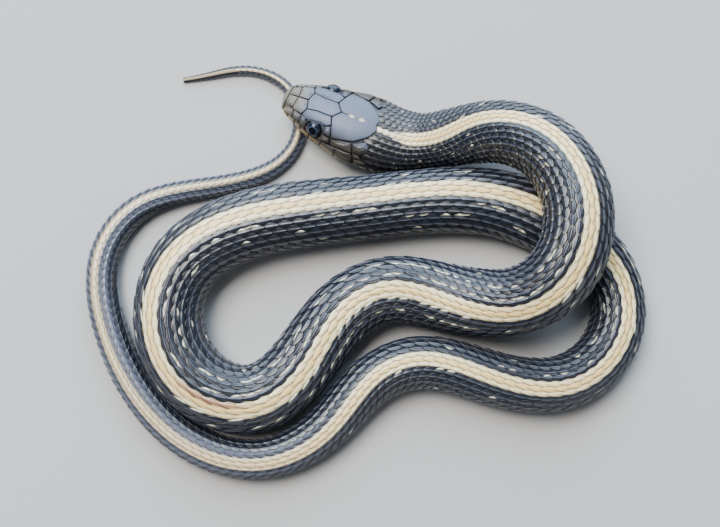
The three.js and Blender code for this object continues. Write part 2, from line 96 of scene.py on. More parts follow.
# Shields of the head, each corner by its distance from the snout and around from the middle.
FRONTAL = (
    (4.95, 0), (5.5, 1.8), (7.7, 1.5), (10.55, 1.6), (11.9, 0), (10.55, -1.6), (7.7, -1.5), (5.5, -1.8),
)
TOP_PAIRS = {
    "internasal": ((0.9, 0), (0.8, 1.3), (1.5, 2.1), (2.6, 2.35), (2.9, 0)),
    "prefrontal": ((2.9, 0), (2.6, 2.35), (3.0, 2.75), (4.9, 3.05), (5.5, 1.8), (4.95, 0)),
    "supraocular": (
        (5.5, 1.8), (5.0, 3.1), (6.0, 3.7), (7.5, 3.95), (9.1, 3.85), (10.65, 3.6), (11.15, 3.15),
        (10.55, 1.6), (7.7, 1.5),
    ),
    "parietal": (
        (11.9, 0.05), (10.55, 1.6), (11.15, 3.15), (11.65, 4.5), (12.05, 5.6), (13.9, 5.3), (15.95, 4.85),
        (18.2, 3.2), (19.25, 1.5), (18.65, 0.05),
    ),
}
# Shields on the sides, each corner by its distance from the snout and its height.
SIDE_PAIRS = {
    "nasal": (
        (0.75, 2.9), (1.05, 3.6), (1.8, 4.25), (3.0, 4.6), (3.3, 4.3), (3.3, 3.45), (2.3, 3.2), (0.95, 2.65),
    ),
    "loreal": ((3.15, 4.65), (4.9, 5.1), (5.2, 4.4), (4.95, 3.7), (3.4, 3.55)),
    "preocular": ((5.0, 5.15), (6.0, 5.35), (6.5, 4.9), (6.6, 4.2), (6.3, 3.6), (5.1, 3.7)),
    "postocular_upper": ((10.3, 6.4), (11.15, 6.65), (11.6, 6.3), (11.75, 5.6), (10.35, 5.5)),
    "postocular_lower": ((10.35, 5.35), (11.8, 5.45), (12.1, 4.75), (11.0, 4.2), (9.9, 3.75), (9.8, 4.3)),
    "temporal_front": ((12.1, 5.5), (13.9, 6.3), (15.75, 6.7), (16.45, 5.55), (14.25, 5.15), (12.4, 4.65)),
    "temporal_rear": ((15.95, 6.75), (18.1, 7.35), (18.8, 7.05), (18.7, 6.45), (17.6, 5.65), (16.6, 5.75)),
    "temporal_low": ((16.45, 5.5), (17.7, 5.6), (18.3, 5.0), (17.0, 4.6)),
    "temporal_under": ((12.4, 4.55), (14.25, 5.05), (16.35, 5.45), (16.9, 4.6), (16.6, 4.4), (13.8, 4.55)),
    "behind_lips": ((17.0, 4.5), (18.3, 4.85), (19.2, 4.6), (18.9, 3.4), (17.3, 2.9)),
}
UPPER_LIP = {
    "divisions": (1.0, 2.25, 4.1, 5.6, 7.8, 10.45, 13.6, 16.8),
    "lower": ((1.0, 1.7), (4.0, 1.8), (7.0, 1.95), (10.0, 1.9), (13.0, 1.85), (15.9, 2.3), (16.8, 2.4)),
    "upper": (
        (1.0, 2.55), (2.3, 3.1), (4.45, 3.5), (6.15, 3.45), (7.8, 3.0), (9.4, 3.3), (11.1, 4.0),
        (13.75, 4.5), (16.8, 4.35),
    ),
}
LOWER_LIP = {
    "divisions": (0.9, 2.1, 3.6, 5.4, 7.6, 10.2, 12.9, 15.7),
    "lower": ((0.9, 0.95), (3.6, 0.7), (7.6, 0.55), (12.9, 0.5), (15.7, 0.9)),
    "upper": ((0.9, 1.3), (4.0, 1.4), (7.0, 1.55), (10.0, 1.5), (13.0, 1.45), (15.7, 1.8)),
}
MOUTH = (
    (-1.5, 1.45), (1.0, 1.5), (4.0, 1.6), (7.0, 1.75), (10.0, 1.7), (13.0, 1.65), (15.6, 2.0), (17.4, 2.0),
)
MOUTH_CORNER = 17.4

# Shields under the head, each corner by its distance from the snout and around from the chin's middle.
CHIN = ((0.45, -0.9), (0.45, 0.9), (1.4, 1.1), (1.85, 0), (1.4, -1.1))
CHIN_PAIRS = {
    "chin_front": ((1.9, 0), (1.5, 1.1), (2.1, 1.5), (4.9, 1.9), (5.4, 1.0), (5.4, 0)),
    "chin_rear": ((5.4, 0), (5.4, 1.0), (5.0, 1.95), (9.6, 2.4), (10.0, 1.2), (9.2, 0)),
}


def linear(red: float, green: float, blue: float) -> np.ndarray:
    """A colour given in display numbers up to 255, as light, by the usual display curve."""
    share = np.array([red, green, blue]) / 255.0
    return np.where(share <= 0.04045, share / 12.92, ((share + 0.055) / 1.055) ** 2.4)


def opaque(colour: tuple) -> tuple:
    """A colour given in display numbers, as light, for a shader's socket."""
    return (*linear(*colour), 1)


def smooth(value: np.ndarray, start: float, end: float) -> np.ndarray:
    """A soft step from 0 at the start to 1 at the end: 3t squared less 2t cubed."""
    t = np.clip((value - start) / (end - start), 0, 1)
    return t * t * (3 - 2 * t)


def blend(first: np.ndarray, second: np.ndarray, share: np.ndarray) -> np.ndarray:
    """Colours between two, by a share for each point."""
    return first + (second - first) * np.asarray(share)[..., None]


@dataclass(frozen=True)
class SmoothTable:
    """Rows of numbers joined by a curve that never overshoots them."""

    rows: tuple

    def at(self, x: np.ndarray) -> np.ndarray:
        """The columns after the first, where the first column is x.

        Cubic between rows; the slope at a row is the harmonic mean of the slopes beside it,
        or level where those differ in sign.

        Args:
            x: Places, clamped to the table's own.

        Returns:
            An array with one more axis than x, for the columns.
        """
        rows = np.array(self.rows, float)
        knots = rows[:, 0]
        values = rows[:, 1:]
        x = np.clip(np.asarray(x, float), knots[0], knots[-1])
        i = np.clip(np.searchsorted(knots, x, side="right") - 1, 0, len(knots) - 2)
        width = np.diff(knots)
        slopes = np.diff(values, axis=0) / width[:, None]
        before = slopes[:-1]
        after = slopes[1:]
        alike = before * after > 0
        middle = np.where(alike, 2 * before * after / np.where(alike, before + after, 1), 0)
        bends = np.vstack([slopes[:1], middle, slopes[-1:]])
        t = ((x - knots[i]) / width[i])[..., None]
        u = 1 - t
        w = width[i][..., None]
        start = values[i] * (1 + 2 * t) * u * u + bends[i] * w * t * u * u
        return start + values[i + 1] * t * t * (3 - 2 * t) - bends[i + 1] * w * t * t * u

    def column(self, x: np.ndarray) -> np.ndarray:
        """The second column alone, at x."""
        return self.at(x)[..., 0]


@dataclass
class BodyShape:
    """The snake's outer surface, by distance from the snout and angle about the body.

    A distance runs along the underside. An angle runs from the top towards the snake's
    right. A girth share runs from the middle of the stripe, 0, to the middle of the belly,
    1 on the right and -1 on the left.
    """

    form: SmoothTable = field(default_factory=lambda: SmoothTable(FORM))
    reach: float = 0.6
    short_steps: tuple = (0.05, 0.04)
    rings: int = 1017
    spokes: int = 145
    trace_steps: int = 521
    trace_reach: float = 1.3 * math.pi

    def __post_init__(self) -> None:
        """Traces the route and the girth once."""
        rows = np.array(POSE, float)
        controls = rows.copy()
        controls[1:-1] -= (rows[:-2] - 2 * rows[1:-1] + rows[2:]) / 6
        t = np.arange(SAMPLES_PER_ROW)[:, None] / SAMPLES_PER_ROW
        weights = ((1 - t) ** 3, 3 * t**3 - 6 * t**2 + 4, -3 * t**3 + 3 * t**2 + 3 * t + 1, t**3)
        starts = range(len(controls) - 3)
        route = np.vstack([sum(w * controls[i + k] for k, w in enumerate(weights)) / 6 for i in starts])
        route[:, 2] = np.maximum(route[:, 2], 0)
        self.route = route[:, :3]
        steps = np.linalg.norm(np.diff(self.route, axis=0), axis=1)
        self.along = np.concatenate([[0], np.cumsum(steps)])
        self.turns = np.radians(route[:, 3])
        self._trace_girth()

    def _trace_girth(self) -> None:
        """Finds the angle at each girth share, for rings all along the body."""
        self.ring_places = np.linspace(0, TAIL_TIP, self.rings)
        offsets = np.linspace(-self.trace_reach, self.trace_reach, self.trace_steps)
        turns = np.interp(self.ring_places, self.along, self.turns)
        angles = turns[:, None] + offsets
        aside, level = self.section(self.ring_places[:, None], angles)
        steps = np.hypot(np.diff(aside, axis=1), np.diff(level, axis=1))
        gone = np.concatenate([np.zeros((self.rings, 1)), np.cumsum(steps, axis=1)], axis=1)
        middle = len(offsets) // 2
        gone -= gone[:, middle : middle + 1]
        full = [np.interp(math.pi, offsets, row) - np.interp(-math.pi, offsets, row) for row in gone]
        self.girths = np.array(full)
        self.shares = np.linspace(-1, 1, self.spokes)
        halves = self.girths[:, None] / 2 * self.shares
        found = [np.interp(half, row, angle) for half, row, angle in zip(halves, gone, angles)]
        self.ring_angles = np.array(found)

    def section(self, along: np.ndarray, angle: np.ndarray) -> tuple[np.ndarray, np.ndarray]:
        """How far aside and how high the surface is in its own frame.

        A superellipse: the sine and cosine of the angle, each to the power of 2 over the
        roundness, times the half width and the height; cut flat at the underside.

        Args:
            along: Distances from the snout.
            angle: Angles from the top.

        Returns:
            The distance aside, to the snake's right, and the level over the underside line.
        """
        half, under, widest, top, above, below = np.moveaxis(self.form.at(along), -1, 0)
        sine = np.sin(angle)
        cosine = np.cos(angle)
        power = 2 / np.where(cosine > 0, above, below)
        aside = half * np.sign(sine) * np.abs(sine) ** power
        depth = np.where(cosine > 0, top - widest, (widest - under) * BELLY_OVERHANG)
        level = widest + depth * np.sign(cosine) * np.abs(cosine) ** power
        return aside, np.maximum(level, under)

    def point_on_route(self, along: np.ndarray) -> np.ndarray:
        """The underside line's point at each distance, straight on past its first point.

        Args:
            along: Distances from the snout, which may be negative.

        Returns:
            A point for each distance.
        """
        point = np.stack([np.interp(along, self.along, self.route[:, k]) for k in range(3)], axis=-1)
        ahead = np.minimum(along, 0)[..., None]
        return point + ahead * (self.route[1] - self.route[0]) / self.along[1]

    def axes(self, along: np.ndarray) -> tuple[np.ndarray, np.ndarray, np.ndarray, np.ndarray]:
        """The body's own frame, which leans forward at the head.

        The way back is from a point a little ahead to one a little behind. The way to the
        right is level and square to it, and both others turn about the way back by the lean.

        Args:
            along: Distances from the snout.

        Returns:
            The origin, the way towards the tail, the way to the snake's right, and up.
        """
        back = self.point_on_route(along + self.reach) - self.point_on_route(along - self.reach)
        back /= way_length(back)
        right = np.stack([-back[..., 1], back[..., 0], np.zeros_like(back[..., 0])], axis=-1)
        right /= way_length(right)
        up = np.cross(back, right)
        lean = -math.radians(HEAD_LEAN) * (1 - smooth(along, *LEAN_FADES))[..., None]
        leaned_right = right * np.cos(lean) + np.cross(back, right) * np.sin(lean)
        leaned_up = up * np.cos(lean) + np.cross(back, up) * np.sin(lean)
        return self.point_on_route(along), back, leaned_right, leaned_up

    def on_surface(self, along: np.ndarray, angle: np.ndarray) -> np.ndarray:
        """Points of the outer surface: the section, carried along the route.

        Args:
            along: Distances from the snout.
            angle: Angles from the top.

        Returns:
            A point for each pair.
        """
        origin, _, right, up = self.axes(along)
        aside, level = self.section(along, angle)
        return origin + right * aside[..., None] + up * level[..., None]

    def place(self, along: np.ndarray, angle: np.ndarray, rise: np.ndarray) -> np.ndarray:
        """Points at a height over the outer surface.

        The way out is square to two short steps on the surface, one back and one around.

        Args:
            along: Distances from the snout.
            angle: Angles from the top.
            rise: Heights over the surface, negative below it.

        Returns:
            A point for each place.
        """
        along, angle, rise = np.broadcast_arrays(along, angle, rise)
        back, turn = self.short_steps
        backwards = self.on_surface(along + back, angle) - self.on_surface(along - back, angle)
        around = self.on_surface(along, angle + turn) - self.on_surface(along, angle - turn)
        normal = np.cross(backwards, around)
        normal /= way_length(normal)
        return self.on_surface(along, angle) + normal * rise[..., None]

    def angle_at_share(self, along: np.ndarray, share: np.ndarray) -> np.ndarray:
        """The angle at a girth share, found straight between the traced rings and spokes.

        Args:
            along: Distances from the snout.
            share: Girth shares, which may run past the middle of the belly.

        Returns:
            An angle for each pair.
        """
        along, share = np.broadcast_arrays(along, share)
        x = np.clip(along / TAIL_TIP * (self.rings - 1), 0, self.rings - 1.001)
        y = (share + 1) / 2 * (self.spokes - 1)
        turns = np.floor(y / (self.spokes - 1))
        y = np.clip(y - turns * (self.spokes - 1), 0, self.spokes - 1.001)
        i = x.astype(int)
        j = y.astype(int)
        a = x - i
        b = y - j
        table = self.ring_angles
        near = table[i, j] * (1 - b) + table[i, j + 1] * b
        far = table[i + 1, j] * (1 - b) + table[i + 1, j + 1] * b
        return near * (1 - a) + far * a + turns * 2 * math.pi

    def angle_at_height(self, along: np.ndarray, height: np.ndarray) -> np.ndarray:
        """The angle at which the right side of the surface is at a height.

        The superellipse of section, solved for the angle.

        Args:
            along: Distances from the snout.
            height: Levels over the underside line.

        Returns:
            An angle for each pair.
        """
        _, under, widest, top, above, below = np.moveaxis(self.form.at(along), -1, 0)
        high = height > widest
        depth = np.where(high, top - widest, (widest - under) * BELLY_OVERHANG)
        share = np.minimum(np.abs(height - widest) / depth, 1)
        cosine = share ** (np.where(high, above, below) / 2)
        return np.arccos(np.where(high, cosine, -cosine))

    def half_girth(self, along: np.ndarray) -> np.ndarray:
        """Half the way around the body at each distance."""
        return np.interp(along, self.ring_places, self.girths) / 2

    def head_point(self, along: float, aside: float, above: float) -> np.ndarray:
        """A point inside the head, by its distance from the snout, aside and above the chin."""
        origin, _, right, up = self.axes(np.array(along))
        return origin + right * aside + up * above


class Colour:
    """Colours of the snake in good light, with the painted highlight on the keels and the painted sheen
    beside the tail's stripe.
    """

    DARK = linear(31, 35, 47)
    DARK_WARM = linear(39, 37, 40)
    DARK_LOW = linear(50, 48, 49)
    # A painted highlight: the pale blue-grey line along the keels of the dark scales.
    KEEL_HIGHLIGHT = linear(150, 158, 176)
    NAPE = linear(40, 39, 42)
    STRIPE = linear(252, 216, 144)
    STRIPE_EDGE = linear(255, 234, 184)
    STRIPE_START = linear(246, 236, 208)
    STRIPE_TAIL = linear(226, 204, 166)
    FLECK = linear(250, 244, 214)
    RUST = linear(150, 92, 74)
    # A painted sheen: the pale blue-grey band beside the tail's stripe.
    TAIL_SHEEN = linear(104, 110, 128)
    BELLY = linear(134, 140, 136)
    BELLY_EDGE = linear(84, 86, 84)
    CROWN = linear(84, 92, 112)
    SNOUT = linear(114, 108, 98)
    TEMPLE = linear(66, 61, 53)
    LIP = linear(172, 150, 98)
    BAR = linear(40, 34, 26)
    CHIN = linear(214, 206, 172)
    SUTURE = linear(22, 21, 22)
    SPOT = linear(226, 208, 184)


@dataclass
class Markings:
    """The snake's pattern, shared by its skin, scales, plates and shields.

    Lengths are in millimetres, and a pair is where a soft step starts and ends. The stripe's
    table gives its half width, and stripe_edge is in parts of that. The fields flank,
    ventral_edge, ventral_softness and plate_edge are girth shares. The rust mark's two pairs
    are its middle and half size, along and around. The lip's height is a level and a part
    of the widest level, added.
    """

    shape: BodyShape
    stripe: SmoothTable = field(default_factory=lambda: SmoothTable((
        (18.4, 0.3), (20.5, 0.5), (23.0, 0.85), (26.0, 1.2), (60.0, 1.36), (110.0, 1.48), (200.0, 1.52),
        (270.0, 1.42), (330.0, 1.28), (370.0, 1.1), (400.0, 1.0), (440.0, 0.82), (480.0, 0.55), (508.0, 0.3),
    )))
    stripe_starts: tuple = (18.0, 18.6)
    stripe_warms: tuple = (20.0, 27.0)
    stripe_edge: tuple = (0.3, 0.65)
    stripe_softness: float = 0.1
    flank: tuple = (0.45, 0.72)
    nape: tuple = (20.0, 25.5)
    tail: tuple = (340.0, 390.0)
    # Where the painted sheen beside the tail's stripe starts and ends, in millimetres around from its middle.
    tail_sheen: tuple = (1.0, 1.5, 2.6, 3.6)
    rust_mark: tuple = (158.5, 6.5)
    rust_across: tuple = (0.95, 0.5)
    ventral_edge: float = 0.72
    ventral_softness: tuple = (-0.02, 0.05)
    plate_edge: tuple = (0.75, 0.88)
    lip_bars: tuple = (2.25, 4.1, 5.6, 7.8, 10.45, 13.6)
    bar_width: float = 0.2
    spots: tuple = (13.9, 15.95)
    spot_size: tuple = (0.55, 0.28)
    snout: tuple = (2.5, 6.5)
    temple: tuple = (0.5, 1.7)
    temple_starts: tuple = (2.5, 5.0)
    lip_height: tuple = (1.9, 0.4)
    lip_edge: tuple = (-0.2, 0.9)
    lip_starts: tuple = (0.2, 1.5)
    lip_fades: tuple = (10.0, 16.0)
    bar_foot: tuple = (1.45, 1.8)
    chin_edge: tuple = (1.2, 1.6)

    def body(self, along: np.ndarray, share: np.ndarray, tint: np.ndarray) -> np.ndarray:
        """The colour of the body.

        Args:
            along: Distances from the snout.
            share: Girth shares, from the middle of the stripe.
            tint: A chance from 0 to 1 for each scale.

        Returns:
            A colour for each point.
        """
        reach = np.abs(share)
        around = reach * self.shape.half_girth(along)
        colour = blend(Colour.DARK, Colour.DARK_WARM, tint**2 * 0.6)
        colour = blend(colour, Colour.DARK_LOW, smooth(reach, *self.flank) * 0.75)
        colour = blend(Colour.NAPE, colour, smooth(along, *self.nape))
        on_tail = smooth(along, *self.tail)
        # A pale blue-grey band on each side of the tail's stripe: painted sheen.
        beside = smooth(around, *self.tail_sheen[:2]) * (1 - smooth(around, *self.tail_sheen[2:]))
        colour = blend(colour, Colour.TAIL_SHEEN, on_tail * beside * 0.75)
        width = self.stripe.column(along)
        off_middle = around / np.maximum(width, 0.1)
        pale = blend(Colour.STRIPE, Colour.STRIPE_EDGE, smooth(off_middle, *self.stripe_edge))
        pale = blend(Colour.STRIPE_START, pale, smooth(along, *self.stripe_warms))
        pale = blend(pale, Colour.STRIPE_TAIL, on_tail)
        rust = np.exp(-(((along - self.rust_mark[0]) / self.rust_mark[1]) ** 4)) * (share < 0)
        across = np.exp(-(((around - self.rust_across[0]) / self.rust_across[1]) ** 2))
        pale = blend(pale, Colour.RUST, rust * across * 0.95)
        inside = 1 - smooth(around, width - self.stripe_softness, width + self.stripe_softness)
        inside = inside * smooth(along, *self.stripe_starts)
        colour = blend(colour, pale, inside)
        near, far = self.ventral_softness
        belly = smooth(reach, self.ventral_edge + near, self.ventral_edge + far)
        under = blend(Colour.BELLY_EDGE, Colour.BELLY, smooth(reach, *self.plate_edge))
        return blend(colour, under, belly)

    def spot(self, along: np.ndarray, reach: np.ndarray) -> np.ndarray:
        """The two pale spots on the line between the parietals, each an ellipse.

        Args:
            along: Distances from the snout.
            reach: Distances aside from the middle.

        Returns:
            A share from 0 to 1 for each point.
        """
        long, wide = self.spot_size
        away = [np.hypot((along - place) / long, reach / wide) for place in self.spots]
        return 1 - smooth(np.minimum(*away), 0.75, 1.15)

    def head(self, along: np.ndarray, level: np.ndarray) -> np.ndarray:
        """The colour of the head.

        Args:
            along: Distances from the snout.
            level: Heights over the underside line.

        Returns:
            A colour for each point.
        """
        crown = blend(Colour.SNOUT, Colour.CROWN, smooth(along, *self.snout))
        _, _, widest, top, _, _ = np.moveaxis(self.shape.form.at(along), -1, 0)
        side = smooth(top - level, *self.temple) * smooth(along, *self.temple_starts)
        colour = blend(crown, Colour.TEMPLE, side)
        edge = widest * self.lip_height[1] + self.lip_height[0]
        low = 1 - smooth(level, edge + self.lip_edge[0], edge + self.lip_edge[1])
        on_lip = low * (1 - 0.75 * smooth(along, *self.lip_fades)) * smooth(along, *self.lip_starts)
        colour = blend(colour, Colour.LIP, on_lip)
        bars = sum(np.exp(-(((along - bar + 0.1) / self.bar_width) ** 2)) for bar in self.lip_bars)
        bars = np.clip(bars, 0, 1) * low * smooth(level, *self.bar_foot)
        colour = blend(colour, Colour.BAR, bars * 0.8)
        return blend(colour, Colour.CHIN, 1 - smooth(level, *self.chin_edge))


def add_object(
    name: str,
    points: np.ndarray,
    faces: list[np.ndarray],
    bake: np.ndarray,
    colours: np.ndarray | None = None,
    flat: np.ndarray | None = None,
) -> bpy.types.Object:
    """Puts a mesh of grids into the scene.

    Args:
        name: The piece's name.
        points: Points in millimetres.
        faces: Arrays of corner numbers, each with its own number of corners.
        bake: A place on the unwrapped skin for each point.
        colours: A colour for each point, for the attribute named marking.
        flat: Which faces are shaded flat.

    Returns:
        The piece, riding on the snake's body.
    """
    mesh = bpy.data.meshes.new(name)
    loops = np.concatenate([group.ravel() for group in faces]).astype(np.int32)
    sizes = np.concatenate([np.full(len(group), group.shape[1]) for group in faces])
    starts = np.concatenate([[0], np.cumsum(sizes)[:-1]]).astype(np.int32)
    mesh.vertices.add(len(points))
    mesh.vertices.foreach_set("co", (points * MM).astype(np.float32).ravel())
    mesh.loops.add(len(loops))
    mesh.loops.foreach_set("vertex_index", loops)
    mesh.polygons.add(len(sizes))
    mesh.polygons.foreach_set("loop_start", starts)
    mesh.update(calc_edges=True)
    mesh.validate()
    mesh.polygons.foreach_set("use_smooth", np.ones(len(sizes), bool) if flat is None else ~flat)
    if colours is not None:
        layer = mesh.color_attributes.new("marking", "FLOAT_COLOR", "POINT")
        rgba = np.concatenate([colours, np.ones((len(colours), 1))], axis=1)
        layer.data.foreach_set("color", rgba.astype(np.float32).ravel())
    layer = mesh.uv_layers.new(name="OFBake")
    layer.data.foreach_set("uv", bake[loops].astype(np.float32).ravel())
    piece = bpy.data.objects.new(name, mesh)
    bpy.context.scene.collection.objects.link(piece)
    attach(piece, BODY)
    return piece


def bake_place(along: np.ndarray, share: np.ndarray) -> np.ndarray:
    """Where a point of the skin is on its unwrap: along it, and around it from the belly."""
    flat = np.stack([np.clip(along / TAIL_TIP, 0, 1), (share + 1) / 2], axis=-1)
    return UNWRAP_MARGIN + (1 - 2 * UNWRAP_MARGIN) * flat


def grid_faces(rows: int, columns: int, closed: bool) -> np.ndarray:
    """The four-cornered faces of a grid of points.

    Args:
        rows: The number of rows.
        columns: The points in each row.
        closed: Whether each row closes into a ring.

    Returns:
        Four corner numbers for each face.
    """
    i = np.arange(rows - 1)[:, None]
    j = np.arange(columns if closed else columns - 1)
    following = (j + 1) % columns
    corners = (i * columns + j, (i + 1) * columns + j, (i + 1) * columns + following, i * columns + following)
    return np.stack(np.broadcast_arrays(*corners), axis=-1).reshape(-1, 4)


def pole_fans(rows: int, columns: int, first_pole: int, last_pole: int) -> np.ndarray:
    """The triangles that close a grid of rings, a fan at each end.

    Args:
        rows: The number of rings.
        columns: The points in each ring.
        first_pole: The number of the point that closes the first ring.
        last_pole: The number of the point that closes the last ring.

    Returns:
        Three corner numbers for each triangle.
    """
    j = np.arange(columns)
    following = (j + 1) % columns
    last = (rows - 1) * columns
    near = np.stack([np.full(columns, first_pole), j, following], axis=-1)
    far = np.stack([np.full(columns, last_pole), last + following, last + j], axis=-1)
    return np.concatenate([near, far])


def way_length(ways: np.ndarray) -> np.ndarray:
    """The length of each way, kept as an axis of one so that the way can be divided by it."""
    return np.linalg.norm(ways, axis=-1, keepdims=True)


def repeated(faces: np.ndarray, number: int, each: int) -> np.ndarray:
    """One form's faces, for so many copies of so many points each."""
    offsets = (np.arange(number) * each)[:, None, None]
    return (faces[None] + offsets).reshape(-1, faces.shape[1])


class Number:
    """A number socket of a shader, with the arithmetic that its patterns use."""

    def __init__(self, shader: "Shader", socket: bpy.types.NodeSocket) -> None:
        """Holds the socket and the shader that it belongs to."""
        self.shader = shader
        self.socket = socket

    def _with(self, operation: str, other: object) -> "Number":
        """A Math node's result for this value and another."""
        return self.shader.node("ShaderNodeMath", {"operation": operation}, {0: self, 1: other})

    def __add__(self, other: object) -> "Number":
        """The sum."""
        return self._with("ADD", other)

    def __mul__(self, other: object) -> "Number":
        """The product."""
        return self._with("MULTIPLY", other)


class Shader:
    """A material, built from its nodes."""

    def __init__(self, name: str) -> None:
        """Starts an empty material.

        Args:
            name: The material's name.
        """
        self.material = bpy.data.materials.new(name)
        self.material.use_nodes = True
        self.tree = self.material.node_tree
        self.tree.nodes.clear()

    def node(self, kind: str, settings: dict, inputs: dict, output: int | str = 0) -> Number:
        """Adds a node.

        Args:
            kind: The node's type.
            settings: Its options, which are set first.
            inputs: The values or links of its sockets.
            output: The socket that is returned.

        Returns:
            The output socket.
        """
        made = self.tree.nodes.new(kind)
        for key, value in settings.items():
            setattr(made, key, value)
        for key, value in inputs.items():
            if isinstance(value, Number):
                self.tree.links.new(value.socket, made.inputs[key])
            else:
                made.inputs[key].default_value = value
        return Number(self, made.outputs[output])

    def attribute(self, name: str, output: str = "Color") -> Number:
        """A value stored on the piece's points."""
        return self.node("ShaderNodeAttribute", {"attribute_name": name}, {}, output)

    def noise(self, scale: float, detail: float) -> Number:
        """Clouded noise in the snake's own space, of so many patches to a metre."""
        place = self.node("ShaderNodeTexCoord", {}, {}, "Object")
        return self.node("ShaderNodeTexNoise", {}, {"Vector": place, "Scale": scale, "Detail": detail})

    def mix(self, share: object, first: object, second: object, mode: str = "MIX") -> Number:
        """A colour between two, or one worked on by the other."""
        made = {"data_type": "RGBA", "blend_type": mode}
        return self.node("ShaderNodeMix", made, {0: share, 6: first, 7: second}, 2)

    def step(self, value: Number, start: float, end: float) -> Number:
        """A soft step of a number, from 0 at the start to 1 at the end."""
        inputs = {0: value, 1: start, 2: end}
        return self.node("ShaderNodeMapRange", {"interpolation_type": "SMOOTHSTEP"}, inputs)

    def grey(self, value: Number) -> Number:
        """A number as a grey colour."""
        return self.node("ShaderNodeCombineColor", {}, {0: value, 1: value, 2: value})

    def bump(self, height: Number, strength: float, distance: float) -> Number:
        """The direction of a surface raised by a height."""
        inputs = {"Height": height, "Strength": strength, "Distance": distance}
        return self.node("ShaderNodeBump", {}, inputs)

    def close(self, values: dict) -> bpy.types.Material:
        """Ends the material in a surface.

        Args:
            values: The values or links of the surface's sockets.

        Returns:
            The finished material.
        """
        surface = self.node("ShaderNodeBsdfPrincipled", {}, values)
        made = self.tree.nodes.new("ShaderNodeOutputMaterial")
        self.tree.links.new(surface.socket, made.inputs["Surface"])
        return self.material


@dataclass(frozen=True)
class ScaleFinish:
    """Horn-like keratin over the painted marking, with fine grain.

    The patches are the broad and the fine noise's, to a metre, and the grain's depth is in
    metres.
    """

    name: str
    roughness: float
    roughness_spread: float
    coat: float
    coat_roughness: float
    grain: float
    mottle: float = 0.35
    stipple: float = 0.3
    patches: tuple = (900, 5200)
    grain_depth: float = 0.00006

    def material(self) -> bpy.types.Material:
        """Builds the material: the marking, darkened by broad clouds times fine stipple.

        Returns:
            The finished material.
        """
        shader = Shader(self.name)
        marking = shader.attribute("marking")
        broad = shader.noise(self.patches[0], 3)
        fine = shader.noise(self.patches[1], 4)
        shade = broad * self.mottle + (1 - self.mottle / 2)
        stippled = shade * (fine * self.stipple + (1 - self.stipple / 2))
        colour = shader.mix(1.0, marking, shader.grey(stippled), "MULTIPLY")
        rough = fine * self.roughness_spread + (self.roughness - self.roughness_spread / 2)
        relief = fine * 0.6 + broad * 0.4
        return shader.close({
            "Base Color": colour,
            "Roughness": rough,
            "Normal": shader.bump(relief, self.grain, self.grain_depth),
            "Coat Weight": self.coat,
            "Coat Roughness": self.coat_roughness,
            "IOR": 1.5,
        })


@dataclass(frozen=True)
class EyeFinish:
    """A dark slate eye with a round pupil and a thin paler ring under a clear scale."""

    name: str = "eye_gloss"
    pupil: float = 0.5
    pupil_edge: tuple = (-0.04, 0.03)
    ring_edge: tuple = (0.05, 0.16)
    rim_edge: tuple = (1.0, 1.35)
    pupil_colour: tuple = (7, 9, 14)
    ring_colour: tuple = (62, 74, 98)
    iris_colours: tuple = ((28, 36, 54), (12, 16, 26))
    rim_colour: tuple = (16, 16, 19)

    def material(self) -> bpy.types.Material:
        """Builds the material, by the angle off the gaze: pupil, pale ring, clouded iris, rim.

        Returns:
            The finished material.
        """
        shader = Shader(self.name)
        gaze = shader.attribute("gaze", "Fac")
        inner = shader.step(gaze, *(self.pupil + edge for edge in self.pupil_edge))
        outer = shader.step(gaze, *(self.pupil + edge for edge in self.ring_edge))
        rim = shader.step(gaze, *self.rim_edge)
        iris = shader.mix(shader.noise(6000, 3), *(opaque(colour) for colour in self.iris_colours))
        ring = shader.mix(outer, opaque(self.ring_colour), iris)
        colour = shader.mix(inner, opaque(self.pupil_colour), ring)
        colour = shader.mix(rim, colour, opaque(self.rim_colour))
        return shader.close({
            "Base Color": colour,
            "Roughness": 0.2,
            "Coat Weight": 0.25,
            "Coat Roughness": 0.03,
            "IOR": 1.33,
        })


class Finishes:
    """Every material of the snake."""

    def __init__(self) -> None:
        """Builds the materials once."""
        self.skin = ScaleFinish(
            "skin_between_scales", roughness=0.62, roughness_spread=0.2, coat=0.0, coat_roughness=0.3,
            grain=0.5,
        ).material()
        self.scale = ScaleFinish(
            "keeled_scale", roughness=0.36, roughness_spread=0.16, coat=0.35, coat_roughness=0.24, grain=0.4,
        ).material()
        self.belly = ScaleFinish(
            "belly_plate", roughness=0.34, roughness_spread=0.14, coat=0.25, coat_roughness=0.2, grain=0.15,
            mottle=0.2,
        ).material()
        self.shield = ScaleFinish(
            "head_shield", roughness=0.46, roughness_spread=0.16, coat=0.1, coat_roughness=0.3, grain=0.7,
            mottle=0.4,
        ).material()
        self.eye = EyeFinish().material()


class Chart(Enum):
    """What the second number of a shield's corner is, after its distance from the snout."""

    AROUND = "distance around from the middle of the crown"
    HEIGHT = "height"
    BELOW = "distance around from the middle of the chin"
    TIP = "both numbers are places on a disc over the tip of the snout, whose rim is 1"


